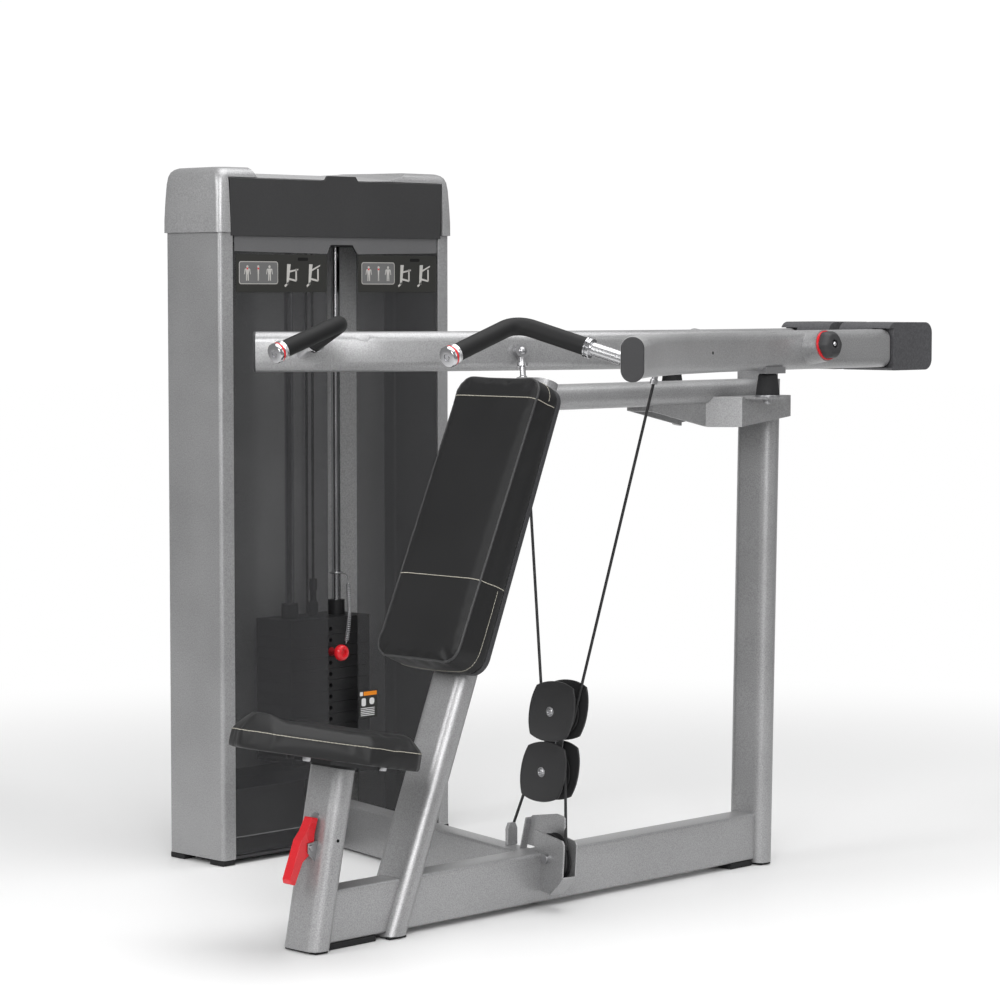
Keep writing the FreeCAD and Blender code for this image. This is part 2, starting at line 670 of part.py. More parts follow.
axis_turn = Rotation(Z, LEFT_AXIS)
fit = "dim.shaft_radius + dim.running_fit"
bush_profile = [(fit, 0), (20, 0), (20, 86), (fit, 86)]
pair("pivot_bush_left", "pivot_bush_right", turned("pivot_bush", bush_profile, at(*on_axis(103), axis_turn)))
ring_profile = [(14, 0), (31, 0), (31, 5), (14, 5)]
pivot_ring = turned("pivot_ring", ring_profile, at(*on_axis(189), axis_turn))
cap_profile = [(14, 0), (30, 0), (30, 9), (25, 19), (21, 22), (9, 22), (9, 19), (5, 19), (5, 21), (3, 23),
               (0, 23), (0, 8), (14, 8)]
pivot_cap = turned("pivot_cap", cap_profile, at(*on_axis(194), axis_turn))
pair("pivot_cap_left", "pivot_cap_right", group("pivot_cap_group", [pivot_ring, pivot_cap]))

# counterweight: a rounded casting on the arm's tail, with a pocket for the tail's end
weight_place = at(83, "dim.pivot_y + dim.arm_tail + 61", 1119.5, axes(BACK, X))
weight = plate("weight_block", [(-79, -52.5), (79, -52.5), (79, 52.5), (-79, 52.5)], 138, weight_place)
round_edges(weight, weight.Tip, 24, along(Z))
tail_pocket = box("tail_pocket", (80, 60, 86), (105.5, "dim.pivot_y + dim.arm_tail - 58", "dim.arm_z - 43"))
pair("counterweight_left", "counterweight_right", cut("weight_cut", weight, [tail_pocket]))

# ---------------------------------------------------------------- handles

doc.recompute()
handle_path = [point("dim.grip_x", "dim.grip_front_y", "dim.grip_front_z"),
               point("dim.grip_x", "dim.grip_bend_y", "dim.grip_bend_z"), handle_seat]
handle_in = (handle_path[2] - handle_path[1]).normalize()
grip_line = (handle_path[1] - handle_path[0]).normalize()
grip_end = handle_path[1] + handle_in * 150
handle_end = handle_path[2] + handle_in * 14
HANDLE_BEND = 42


def swept(points, radius, bend=HANDLE_BEND):
    return round_sweep(points, num(radius), [bend] * (len(points) - 2))


handle_sweep = swept([handle_path[0], handle_path[1], handle_end], "dim.handle_radius")
handle_bar = feature("handle_bar", handle_sweep.cut(arm_fill.Shape))
handle_core = [handle_path[0] - grip_line * 20, handle_path[1], grip_end + handle_in * 20]
inner = swept(handle_core, "dim.handle_radius")
sleeve = swept([handle_path[0] + grip_line * 14, handle_path[1], grip_end], "dim.grip_radius").cut(inner)
pair("hand_grip_left", "hand_grip_right", feature("hand_grip", sleeve))
front_turn, back_turn = Rotation(Z, grip_line), Rotation(Z, handle_in)
bore = "dim.handle_radius"
front_place = Placement(handle_path[0], front_turn)
end_cap = turned("grip_end_cap", [(0, -9), (16, -9), (20, -5), (20, 0), (0, 0)], front_place)
red_band = turned("grip_band", [(bore, 0), (19, 0), (19, 5), (bore, 5)], front_place)
front_collar = turned("front_collar", [(bore, 5), (18, 5), (20, 8), (20, 14), (bore, 14)], front_place)
back_profile = [(bore, 0), (20, 0), (20, 9), (18, 12), (bore, 12)]
back_collar = turned("back_collar", back_profile, Placement(grip_end, back_turn))
handle_pieces = group("handle_group", [handle_bar, end_cap, red_band, front_collar, back_collar])
pair("handle_bar_left", "handle_bar_right", handle_pieces)

# ---------------------------------------------------------------- floating pulley block

UPRIGHT_PLANE = axes(X, FRONT)
BLOCK_UPPER = (0, "dim.block_y", "dim.block_upper_z")
BLOCK_LOWER = ("dim.block_lower_x", "dim.block_y", "dim.block_lower_z")
half_cover = ("dim.cover_size / 2", "-dim.cover_size / 2")
cover_outline = [(half_cover[1], half_cover[1]), (half_cover[0], half_cover[1]),
                 (half_cover[0], half_cover[0]), (half_cover[1], half_cover[0])]
covers = []
for name, (x, y, z) in (("upper", BLOCK_UPPER), ("lower", BLOCK_LOWER)):
    for side in (-1, 1):
        place = at(x, f"{y} + {side} * (dim.block_gap / 2 + 2.3)", z, UPRIGHT_PLANE)
        hole = [(0, 0, "dim.axle_radius + 0.3")]
        covers.append(plate(f"cover_{name}_{side}", cover_outline, 3.4, place, hole, (40, along(Z))))
LOWER_NEAR = 2

link_shift = "dim.block_upper_z - dim.block_lower_z"
link_outline = [(-16, -16), (16, -16), ("16 - dim.block_lower_x", link_shift + " + 16"),
                ("-16 - dim.block_lower_x", link_shift + " + 16")]
links = []
for side in (-1, 1):
    holes = [(0, 0, "dim.axle_radius + 0.01"), ("-dim.block_lower_x", link_shift, "dim.axle_radius + 0.01")]
    place = at(BLOCK_LOWER[0], f"{BLOCK_LOWER[1]} + {side} * 11", BLOCK_LOWER[2], UPRIGHT_PLANE)
    links.append(plate(f"link_{side}", link_outline, 3, place, holes, (8, along(Z))))
block_bolts = [bolt(f"block_bolt_{i}", (x, f"{y} - 19", z), BACK, 38) for i, (x, y, z) in
               enumerate((BLOCK_UPPER, BLOCK_LOWER))]
keep(group("link_group", links + block_bolts), "block_links")
keep(pulley("pulley_upper", at(*BLOCK_UPPER, UPRIGHT_PLANE)), "upper_block_pulley")
keep(pulley("pulley_lower", at(*BLOCK_LOWER, UPRIGHT_PLANE)), "lower_block_pulley")

# ---------------------------------------------------------------- cables of the block

PITCH = num("dim.pulley_pitch")


def tangent_angle(centre, target, side):
    """Where a line from the target touches a pulley: the angle of the touching point, in radians."""
    reach, rise = target[0] - centre[0], target[1] - centre[1]
    return math.atan2(rise, reach) + side * math.acos(PITCH / math.hypot(reach, rise))


def on_pulley(centre, angle, across, depth):
    """The point of a pulley's pitch circle at an angle from across towards +Z."""
    return centre + across * (depth * math.cos(angle)) + Z * (depth * math.sin(angle))


def cable_bend(label, centre, across, first, last, pitch="dim.pulley_pitch"):
    """Cable round a pulley, from the first angle down to the last, both from across towards +Z."""
    start = across * math.cos(first) + Z * math.sin(first)
    obj = doc.addObject("Part::Torus", label)
    bind(obj, "Radius1", pitch)
    bind(obj, "Radius2", "dim.cable_radius")
    obj.Angle3 = math.degrees(first - last)
    obj.Placement = Placement(centre, axes(start, Z.cross(across)))
    return obj


upper_centre, lower_centre = point(*BLOCK_UPPER), point(*BLOCK_LOWER)
upper_flat, lower_flat = (upper_centre.x, upper_centre.z), (lower_centre.x, lower_centre.z)
leg_angle = tangent_angle(upper_flat, (ball_place.x, ball_place.z), -1)
leg_foot = on_pulley(upper_centre, leg_angle, X, PITCH)
leg_line = (leg_foot - ball_place).normalize()
# the rod end's eye is square to the cable and as nearly in line with the stud as that allows
eye_side = (outward - leg_line * outward.dot(leg_line)).normalize() * 5
eye = bar("eye_bar", 15, ball_place - eye_side, ball_place + eye_side)
SHANK = 62
shank = turned("shank", [(0, 13.5), (7, 13.5), (7, 26), (11, 26), (11, 33), (6, 33), (6, 52), (8, 54), (8, SHANK),
                         (0, SHANK)], Placement(ball_place, Rotation(Z, leg_line)))
eye_hollow = ball("eye_hollow", "dim.ball_radius + 0.3", ball_place)
rod_end = cut("rod_end", fuse("eye_and_shank", [eye, shank]), [eye_hollow])
leg_end = leg_foot - leg_line * 45
leg_cable = cable("leg_cable", ball_place + leg_line * SHANK, leg_end)
pair("arm_cable_left", "arm_cable_right", group("arm_cable_group", [rod_end, leg_cable]))

block_from_base = lower_centre + X * PITCH - base_centre
riser_target = (block_from_base.dot(ALONG_CROSS), block_from_base.z)
riser_end_angle = tangent_angle((0, 0), riser_target, -1)
riser_end = on_pulley(base_centre, riser_end_angle, ALONG_CROSS, PITCH)
riser_angle = tangent_angle(lower_flat, (riser_end.x, riser_end.z), 1)
riser_start = on_pulley(lower_centre, riser_angle, X, PITCH)
anchor = point(-112, -30, 150)
anchor_angle = tangent_angle(lower_flat, (anchor.x, anchor.z), -1) % (2 * math.pi)
anchor_start = on_pulley(lower_centre, anchor_angle, X, PITCH)
# the riser leans across its pulleys' planes, so it stops clear of their rims, in a notch of the near cover
riser_line = (riser_start - riser_end).normalize()
RIM_CLEARANCE = 27
riser_foot, riser_head = riser_end + riser_line * RIM_CLEARANCE, riser_start - riser_line * RIM_CLEARANCE
keep(cable("riser", riser_foot, riser_head), "riser_cable")
notch = bar("riser_notch", "dim.cable_radius + 2.5", riser_end, riser_start)
covers[LOWER_NEAR] = cut("notched_cover", covers[LOWER_NEAR], [notch])
keep(group("cover_group", covers), "block_plates")
anchor_line = (anchor - anchor_start).normalize()
keep(cable("anchor_leg", anchor, anchor_start + anchor_line), "anchor_cable")
wraps = [cable_bend("upper_wrap", upper_centre, X, leg_angle, -math.pi - leg_angle),
         cable_bend("lower_wrap", lower_centre, X, anchor_angle, riser_angle)]
leg_stub = cable("leg_stub", leg_end + leg_line * 0.3, leg_foot)
keep(group("wrap_group", wraps + [leg_stub, mirror("leg_stub_right", leg_stub)]), "block_cables")

# base bracket: two plates beside the base pulley, and the tab that anchors the cable's end
FACE_CROSS = axes(ALONG_CROSS, ACROSS_CROSS * -1)
BRACKET_SIDE = [(-62, -4), (-40, -70), (5, -70), (55, -42), (55, 34), (-62, 59)]
hole = [(0, 0, "dim.axle_radius + 0.01")]
sides = []
for side in (-1, 1):
    place = Placement(base_centre + ACROSS_CROSS * (side * 15), FACE_CROSS)
    sides.append(plate(f"base_side_{side}", BRACKET_SIDE, 4, place, hole, (6, along(Z))))
tab = plate("anchor_tab", [(-14, 0), (14, 0), (14, 34), (8, 46), (-8, 46), (-14, 34)], 8,
            at(-112, -38, "dim.cross_bottom + dim.base_height", axes(BACK, X)))
keep(cut("base_bracket_cut", group("base_sides", sides + [tab]), [base_fill]), "base_bracket")
keep(pulley("pulley_base", Placement(base_centre, FACE_CROSS)), "base_pulley")

# ---------------------------------------------------------------- cable and pulleys of the tower

run_x = num("dim.stack_x") - 72
foot_x = run_x + PITCH * math.cos(cross_turn)
foot_centre = point(*on_cross(foot_x, "dim.base_pulley_z"))
run_low = foot_centre - ALONG_CROSS * PITCH
stack_line = point("dim.stack_x", "dim.stack_y", 0)
head_z = 1400
run_high = Vector(run_low.x, run_low.y, head_z)
stack_high = Vector(stack_line.x, stack_line.y, head_z)
head_centre = (run_high + stack_high) / 2
head_pitch = (stack_high - run_high).Length / 2
ACROSS_HEAD = (stack_high - run_high).normalize()
FACE_HEAD = axes(ACROSS_HEAD, Z.cross(ACROSS_HEAD) * -1)
keep(pulley("pulley_foot", Placement(foot_centre, FACE_CROSS)), "tower_foot_pulley")
head_pulley = pulley("pulley_head", Placement(head_centre, FACE_HEAD), head_pitch, head_pitch + 5)
keep(head_pulley, "tower_head_pulley")

down = -math.pi / 2
base_low, foot_low = base_centre - Z * PITCH, foot_centre - Z * PITCH
tower_run = [cable_bend("base_wrap", base_centre, ALONG_CROSS, riser_end_angle, down),
             cable("floor_run", base_low, foot_low),
             cable_bend("foot_wrap", foot_centre, ALONG_CROSS, down, -math.pi),
             cable("tower_run", run_low, run_high),
             cable_bend("head_wrap", head_centre, ACROSS_HEAD, math.pi, 0, head_pitch)]
keep(fuse("tower_cable_run", tower_run), "tower_cable")
STACK_TOP = "(dim.stack_bottom + dim.plate_count * dim.plate_pitch + dim.top_plate_thick)"
fitting_top = stack_line + Z * (num(STACK_TOP) + 84)
keep(cable("stack_leg", stack_high, fitting_top), "stack_cable")


def axle(label, centre, across, half):
    """A pulley's axle: a bolt square to the pulley's face."""
    side = Z.cross(across)
    start = centre - side * half - point(0, 0, 0)
    return bolt(label, (start.x, start.y, start.z), side, 2 * half)


axles = [axle("axle_base", base_centre, ALONG_CROSS, 17), axle("axle_foot", foot_centre, ALONG_CROSS, 15),
         axle("axle_head", head_centre, ACROSS_HEAD, 15)]
keep(group("frame_bolt_group", fixings + axles), "frame_bolts")

# ---------------------------------------------------------------- seat

seat_outline = [(-60, -218), (0, -243), (60, -218), ("dim.seat_half", -68), ("dim.seat_half", 52), (140, 95),
                (-140, 95), ("-dim.seat_half", 52), ("-dim.seat_half", -68)]
seat_block = new_body("seat_block", on_seat_post("dim.seat_bottom"))
wall_sketch, bevel_sketch = new_sketch(seat_block), new_sketch(seat_block, offset="dim.seat_wall")
draw_polygon(wall_sketch, seat_outline)
draw_polygon(bevel_sketch, seat_outline)
pad(seat_block, wall_sketch, "dim.seat_wall")
bevel = pad(seat_block, bevel_sketch, "dim.seat_bevel")
bevel.TaperAngle = -42
# the seat's top, from its raised nose over the hollow to its rear edge: (back, height)
seat_side = [(-260, -10), (-260, 82), (-196, 82), (-188, 74), (-70, 70), (100, 79), (100, -10)]
side_turn = Rotation(post_back, post_up, SEAT_TURN.multVec(X), "ZXY")
side_prism = plate("seat_side", seat_side, 400, Placement(on_seat_post(0).Base, side_turn))
seat_pad = doc.addObject("Part::MultiCommon", "seat_cushion")
seat_pad.Shapes = [seat_block, side_prism]
keep(seat_pad, "seat_pad")

seat_board = plate("seat_board", [(-100, -100), (100, -100), (100, 60), (-100, 60)], 8, on_seat_post(10))
STEM = (88, 38)
HOLE_PITCH, HOLE_COUNT = 25, 8
stem_holes = []
for i in range(HOLE_COUNT):
    hole_line = on_seat_post(LATCH_DROP - HOLE_PITCH * i).Base
    stem_holes.append(bar(f"stem_hole_{i}", 7.5, hole_line, hole_line - post_back * 40))
stem_bar = cut("stem_cut", tube("stem_bar", draw_oval, *STEM, 286, on_seat_post(-280)), stem_holes)
keep(fuse("stem_welded", [stem_bar, seat_board]), "seat_stem")

bush_body = tube("bush_ring", draw_oval, "dim.oval_width - 2 * dim.tube_wall - 0.4",
                 "dim.oval_thick - 2 * dim.tube_wall - 0.4", 45, on_seat_post(-40), None)
bush_flange = tube("bush_flange", draw_oval, "dim.oval_width + 4", "dim.oval_thick + 4", 5.6, on_seat_post(0.1),
                   None)
bush_bore = tube("bush_bore", draw_oval, f"{STEM[0]} + 0.6", f"{STEM[1]} + 0.6", 200, on_seat_post(-100), None)
keep(cut("bush_cut", fuse("bush", [bush_body, bush_flange]), [bush_bore]), "post_bush")

# lever in front of the seat post, and the latch it pulls
LEVER_PIN = (0, -703, 197)
lever_profile = [(-683, 251), (-692, 222), (-694, 190), (-706, 183), (-722, 172), (-742, 130), (-752, 134),
                 (-754, 142), (-726, 213), (-712, 228), (-697, 254)]
SIDE_ON = axes(BACK, X)
lever = plate("lever_plate", lever_profile, 22, at(0, 0, 0, SIDE_ON), [(LEVER_PIN[1], LEVER_PIN[2], 4.05)],
              (3, along(Z)))
keep(lever, "seat_lever")
cheek_outline = [(-712, 188), (-712, 206), (-680, 210), (-680, 165), (-690, 165)]
pin_hole = [(LEVER_PIN[1], LEVER_PIN[2], 4.01)]
cheeks = [plate(f"cheek_{side}", cheek_outline, 3, at(side * 13, 0, 0, SIDE_ON), pin_hole)
          for side in (-1, 1)]
cheek_cuts = [cut(f"cheek_cut_{i}", cheek, [seat_post_fill]) for i, cheek in enumerate(cheeks)]
lever_pin = bolt("lever_pin", (-14.6, *LEVER_PIN[1:]), X, 29.2, 4, 6, 3)
keep(group("lever_bracket_group", cheek_cuts + [lever_pin]), "lever_bracket")
latch_profile = [(0, 19.5), (5, 19.5), (6, 20.5), (6, 25.8), (9, 25.8), (9, 28.4), (0, 28.4)]
keep(turned("latch", latch_profile, Placement(latch_line, Rotation(Z, post_back * -1))), "latch_pin")

# ---------------------------------------------------------------- backrest

POST_FRONT = "dim.oval_thick / 2 / cos(dim.back_lean)"
back_foot = point(0, f"dim.back_post_foot + tan(dim.back_lean) * dim.pad_base - {POST_FRONT}", "dim.pad_base")
BOARD_FRONT = -17


def on_backrest(depth):
    """A plane of the backrest, depth measured back from the post's front face; local Y runs up the slope."""
    rotation = axes(X, BACK_TURN.multVec(Y) * -1)
    return Placement(back_foot + BACK_TURN.multVec(Y) * depth, rotation)


def back_outline(half, low, high):
    return [(f"-{half}", low), (half, low), (half, high), (f"-{half}", high)]


board = plate("ply_board", back_outline("(dim.pad_half - 4)", 4, "dim.pad_length - 4"), 12, on_backrest(-11),
              (), (36, along(Z)))
back_plate = plate("back_plate", back_outline("35", 100, 500), 5, on_backrest(-2.5))
keep(group("board_group", [board, back_plate]), "backrest_board")
pad_outline = back_outline("dim.pad_half", 0, "dim.pad_length")
pad_block = plate("pad_block", pad_outline, 100, on_backrest(BOARD_FRONT - 50), (), (40, along(Z)))
pad_side = [(BOARD_FRONT, -10), ("-dim.pad_low", -10), ("-dim.pad_high", "dim.pad_length + 10"),
            (BOARD_FRONT, "dim.pad_length + 10")]
slope_turn = Rotation(BACK_TURN.multVec(Y), BACK_TURN.multVec(Z), BACK_TURN.multVec(X), "ZXY")
pad_prism = plate("pad_prism", pad_side, 300, Placement(back_foot, slope_turn))
backrest_pad = doc.addObject("Part::MultiCommon", "backrest_cushion")
backrest_pad.Shapes = [pad_block, pad_prism]
keep(backrest_pad, "backrest_pad")

# ---------------------------------------------------------------- tower

SHEET, RETURN = 3, 36
MIDDLE = "((dim.tower_near + dim.tower_far) / 2)"
channel = [("dim.tower_outer", f"dim.tower_near + {RETURN}"), ("dim.tower_outer", "dim.tower_near"),
           ("dim.tower_front", "dim.tower_near"), ("dim.tower_front", f"dim.tower_near + {RETURN}"),
           (f"dim.tower_front - {SHEET}", f"dim.tower_near + {RETURN}"),
           (f"dim.tower_front - {SHEET}", f"dim.tower_near + {SHEET}"),
           (f"dim.tower_outer + {SHEET}", f"dim.tower_near + {SHEET}"),
           (f"dim.tower_outer + {SHEET}", f"dim.tower_near + {RETURN}")]
column_height = "(dim.tower_top - dim.base_bottom)"
column = plate("column_near", channel, column_height, at(0, 0, f"dim.base_bottom + {column_height} / 2"))
for radius, depth in ((10, 0), (7, SHEET)):
    line = num(f"dim.tower_near + {depth}")
    round_edges(column, column.Tip, radius,
                lambda edge: along(Z)(edge) and abs(edge.CenterOfMass.y - line) < 0.01)
far_column = mirror("column_far", column, Y, (0, MIDDLE, 0))
keep(group("columns", [column, far_column]), "tower_columns")

LIP = 6
cap_size = (f"dim.tower_front - dim.tower_outer + 2 * {LIP}", f"dim.tower_far - dim.tower_near + 2 * {LIP}")
cap_middle = at("(dim.tower_front + dim.tower_outer) / 2", MIDDLE, "(dim.tower_top + dim.cap_top) / 2")


def cap_block(label, inset, height, lift):
    half_x, half_y = (f"({side} - 2 * {inset}) / 2" for side in cap_size)
    low_x, low_y = f"-{half_x}", f"-{half_y}"
    place = Placement(cap_middle.Base + Z * lift, Rotation())
    return plate(label, [(low_x, low_y), (half_x, low_y), (half_x, half_y), (low_x, half_y)], height, place)


cap_outer = cap_block("cap_outer", 0, "dim.cap_top - dim.tower_top", 0)
round_edges(cap_outer, cap_outer.Tip, 14, along(Z))
cap_height = num("dim.cap_top - dim.tower_top")
round_edges(cap_outer, cap_outer.Tip, 12, lambda edge: edge.BoundBox.ZMin > cap_height / 2 - 0.01)
cap_inner = cap_block("cap_inner", 5, "dim.cap_top - dim.tower_top", -30)
header_window = box("header_window", (40, 598, 120), ("dim.tower_front - 20", -206, "dim.tower_top"))
scoop = plate("cap_scoop", [(-151, 1483), (258, 1483), (290, 1530), (-183, 1530)], 140,
              at("dim.tower_front - 42", 0, 0, axes(Y, X)))
keep(cut("cap_cut", cap_outer, [cap_inner, header_window, scoop]), "tower_cap")

# panels of the tower: outlines in (along the machine, up)
SLOT = [("dim.slot_near", 1322), ("dim.slot_near + 10", 1342), ("dim.slot_far - 15", 1342),
        ("dim.slot_far", 1322)]
FACE_TOWER = axes(Y, X)


def panel(label, outline, front, thick):
    """A sheet parallel to the tower's front, its front face a distance behind the tower's front plane."""
    return plate(label, outline, thick, at(f"dim.tower_front - {front} - {thick} / 2", 0, 0, FACE_TOWER))


header = panel("header", [(-205, 1361), (391, 1361), (391, 1482), (158, 1482), (138, 1492), (46, 1492),
                          (32, 1482), (-205, 1482)], 0, 2)
strip = panel("strip", [(-214, 1326), *SLOT, (390, 1326), (390, 1360), (-214, 1360)], 2, 1)
near_card = panel("near_card", [(-210, 1238), (53, 1238), (53, 1320), (-210, 1320)], 2, 1)
far_card = panel("far_card", [(147, 1238), (388, 1238), (388, 1320), (147, 1320)], 2, 1)
rear_sheet = panel("rear_sheet", [(-219, 20), (391, 20), (391, 1365), (-219, 1365)], 179, 3)
keep(group("panel_group", [header, strip, near_card, far_card, rear_sheet]), "tower_panels")

WINDOW_TOP = SLOT[0][1]
windows = [panel("near_window", [(-218, 20), ("dim.slot_near", 20), SLOT[0], (-218, WINDOW_TOP)], 3, 4),
           panel("far_window", [("dim.slot_far", 20), (390, 20), (390, WINDOW_TOP), SLOT[3]], 3, 4),
           panel("top_window", [(-218, WINDOW_TOP), *SLOT, (390, WINDOW_TOP), (390, 1364), (-218, 1364)], 3, 4)]
keep(group("windows", windows), "tower_window")

inner_near, inner_wide = f"dim.tower_near + {SHEET}", f"dim.tower_far - dim.tower_near - 2 * {SHEET}"
inner_low, inner_high = f"dim.tower_outer + {SHEET}", f"dim.tower_front - {SHEET}"
inner_far = f"dim.tower_far - {SHEET}"
floor_outline = [(inner_low, inner_near), (inner_high, inner_near), (inner_high, inner_far),
                 (inner_low, inner_far)]
floor_sheet = plate("floor_sheet", floor_outline, 6, at(0, 0, "dim.base_bottom + 3"), (), (7.5, along(Z)))
beam_corner = ("dim.stack_x - 44", inner_near, "dim.stack_bottom - 38")
stack_beam = box("stack_beam", (105, inner_wide, 25), beam_corner)
top_beam = box("top_beam", (120, inner_wide, 6), ("dim.stack_x - 60", inner_near, "dim.rod_top"))
head_hole = rod("head_hole", 8, 20, ("dim.stack_x", "dim.stack_y", "dim.rod_top - 10"))
foot_sides, head_sides = [], []
FOOT_SIDE = [(-24, -92), (24, -92), (24, 20), (-24, 20)]
HEAD_SIDE = [(-46, -60), (46, -60), (46, -50), (24, 24), (-24, 24), (-46, -50)]
for side in (-1, 1):
    foot_place = Placement(foot_centre + ACROSS_CROSS * (side * 13), FACE_CROSS)
    foot_sides.append(plate(f"foot_side_{side}", FOOT_SIDE, 4, foot_place, hole))
    head_place = Placement(head_centre + Z.cross(ACROSS_HEAD) * (side * 13), FACE_HEAD)
    head_sides.append(plate(f"head_side_{side}", HEAD_SIDE, 4, head_place, hole))
sheet_bars = fuse("tower_sheet_bars", [floor_sheet, stack_beam, top_beam] + foot_sides + head_sides)
keep(cut("tower_sheets", sheet_bars, [cross_fill, head_hole]), "tower_frame")

# ---------------------------------------------------------------- weight stack

rod_length = f"dim.rod_top - dim.stack_bottom + {STOP}"
rods = [rod(f"guide_{i}", "dim.rod_radius", rod_length, (*place, f"dim.stack_bottom - {STOP}"))
        for i, place in enumerate(rod_places)]
keep(group("rods", rods), "guide_rods")

plate_corner = ("dim.stack_x - dim.plate_depth / 2", "dim.stack_y - dim.plate_width / 2")
PLATE_TOP = "(dim.stack_bottom + dim.plate_count * dim.plate_pitch)"
rod_bores = [rod(f"rod_bore_{i}", "dim.rod_radius + 0.5", 800, (*place, 100))
             for i, place in enumerate(rod_places)]
shaft_bore = rod("shaft_bore", 12, 800, ("dim.stack_x", "dim.stack_y", 100))


def pin_height(row):
    """The selector hole of a plate, counted down from the top plate (0)."""
    return f"({PLATE_TOP} - {row} * dim.plate_pitch + dim.plate_thick / 2)"


plate_count, carried = int(num("dim.plate_count")), int(num("dim.carried_count"))
pin_bores = [rod(f"pin_bore_{row}", 5, 130, ("dim.stack_x - 15", "dim.stack_y", pin_height(row)), X)
             for row in range(plate_count + 1)]


def plates(label, first, last):
    """Weight plates, each a solid of its own, counted down from the top plate."""
    size = ("dim.plate_depth", "dim.plate_width", "dim.plate_thick")
    blocks = [box(f"{label}_{row}", size, (*plate_corner, f"{PLATE_TOP} - {row} * dim.plate_pitch"))
              for row in range(first, last + 1)]
    bores = rod_bores + [shaft_bore] + pin_bores[first:last + 1]
    return cut(label, group(label + "_blocks", blocks), bores)


keep(plates("lifted", 1, carried), "carried_plates")
keep(plates("resting", carried + 1, plate_count), "resting_plates")
top_size = ("dim.plate_depth", "dim.plate_width", "dim.top_plate_thick")
top_block = box("top_block", top_size, (*plate_corner, PLATE_TOP))
shaft = rod("selector_rod", 11, "dim.plate_count * dim.plate_pitch - 2",
            ("dim.stack_x", "dim.stack_y", "dim.stack_bottom + 2"))
collars = [rod(f"collar_{i}", 19, 33, (*place, STACK_TOP)) for i, place in enumerate(rod_places)]
fitting = turned("cable_fitting", [(0, 0), (11, 0), (11, 30), (7, 36), (7, 58), (9, 60), (9, 84), (0, 84)],
                 at("dim.stack_x", "dim.stack_y", STACK_TOP))
head_bars = fuse("stack_head_bars", [top_block, shaft, fitting] + collars)
head = cut("stack_head_cut", head_bars, rod_bores + pin_bores)
ring_place = point("dim.stack_x", rod_places[1][1], 606)
ring = doc.addObject("Part::Torus", "lanyard_ring")
ring.Radius1, ring.Radius2 = 14, 2
ring.Placement = Placement(ring_place, Rotation())
keep(group("head_group", [head, ring]), "stack_head")

pin_z = pin_height(carried)
pin_profile = [(0, 0), (4.6, 0), (4.6, 68), (10, 68), (7, 76), (7, 88), (12, 90), (18, 97), (18, 103), (15, 110),
               (0, 112)]
keep(turned("pin", pin_profile, at("dim.stack_x - 8", "dim.stack_y", pin_z, Rotation(Z, X))), "selector_pin")

CORD_ROUTE = [(-845, 160, 606), (-815, 152, 608), (-788, 130, 590), (-778, 122, 555), (-774, 120, 515),
              (-768, 110, 480), (-760, 97, 458)]
cord_points = [point(*place) for place in CORD_ROUTE]
cord_line = Part.BSplineCurve()
cord_line.interpolate(cord_points)
cord_start = Part.Wire(Part.makeCircle(5.5, cord_points[0], cord_line.tangent(0)[0]))
keep(feature("cord", Part.Wire(cord_line.toShape()).makePipeShell([cord_start], True, True)), "lanyard")

# ---------------------------------------------------------------- checks and export

doc.recompute()
for obj in doc.Objects:
    if "Invalid" in obj.State or "Error" in obj.State:
        raise SystemExit(f"{obj.Label} failed: {obj.State}")
for obj in nodes:
    if obj.Shape.isNull() or not obj.Shape.isValid() or not obj.Shape.Solids:
        raise SystemExit(f"{obj.Label} has no valid solid")
for obj in nodes:
    obj.Shape.exportStep(f"parts/{obj.Label}.step")
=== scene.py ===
"""Looks of a shoulder press machine with a weight tower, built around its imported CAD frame.

Metres throughout, save where a helper takes millimetres and says so. The frame's origin is on the floor under
the middle of the machine's box. The user faces -Y, and the weight tower stands on the -X side. The two press
arms mirror about the plane X = ORIGIN.x.
"""
import json
import math

import bmesh
import bpy
import numpy as np
from mathutils import Matrix, Vector
from mathutils.bvhtree import BVHTree

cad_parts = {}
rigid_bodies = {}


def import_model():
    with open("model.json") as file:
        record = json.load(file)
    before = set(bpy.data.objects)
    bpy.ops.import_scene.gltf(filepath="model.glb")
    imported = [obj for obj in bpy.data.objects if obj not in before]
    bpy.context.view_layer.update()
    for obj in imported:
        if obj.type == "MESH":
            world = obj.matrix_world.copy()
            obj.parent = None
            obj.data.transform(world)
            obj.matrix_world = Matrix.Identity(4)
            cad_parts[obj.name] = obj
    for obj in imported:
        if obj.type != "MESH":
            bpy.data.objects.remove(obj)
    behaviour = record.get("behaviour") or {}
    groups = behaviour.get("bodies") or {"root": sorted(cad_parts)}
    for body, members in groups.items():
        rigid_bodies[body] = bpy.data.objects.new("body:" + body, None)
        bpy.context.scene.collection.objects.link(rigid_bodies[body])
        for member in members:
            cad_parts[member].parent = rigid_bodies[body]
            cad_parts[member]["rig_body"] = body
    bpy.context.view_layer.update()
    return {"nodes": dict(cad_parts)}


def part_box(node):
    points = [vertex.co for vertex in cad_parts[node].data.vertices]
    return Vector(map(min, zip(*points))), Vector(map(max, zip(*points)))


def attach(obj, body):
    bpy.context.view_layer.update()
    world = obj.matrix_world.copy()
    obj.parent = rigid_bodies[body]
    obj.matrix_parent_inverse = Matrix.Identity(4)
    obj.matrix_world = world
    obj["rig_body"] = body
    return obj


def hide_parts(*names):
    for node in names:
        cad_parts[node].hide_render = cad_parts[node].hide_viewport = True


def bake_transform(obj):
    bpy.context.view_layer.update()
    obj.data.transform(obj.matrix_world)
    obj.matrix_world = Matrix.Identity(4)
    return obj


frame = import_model()
NODES = frame["nodes"]
MM = 0.001
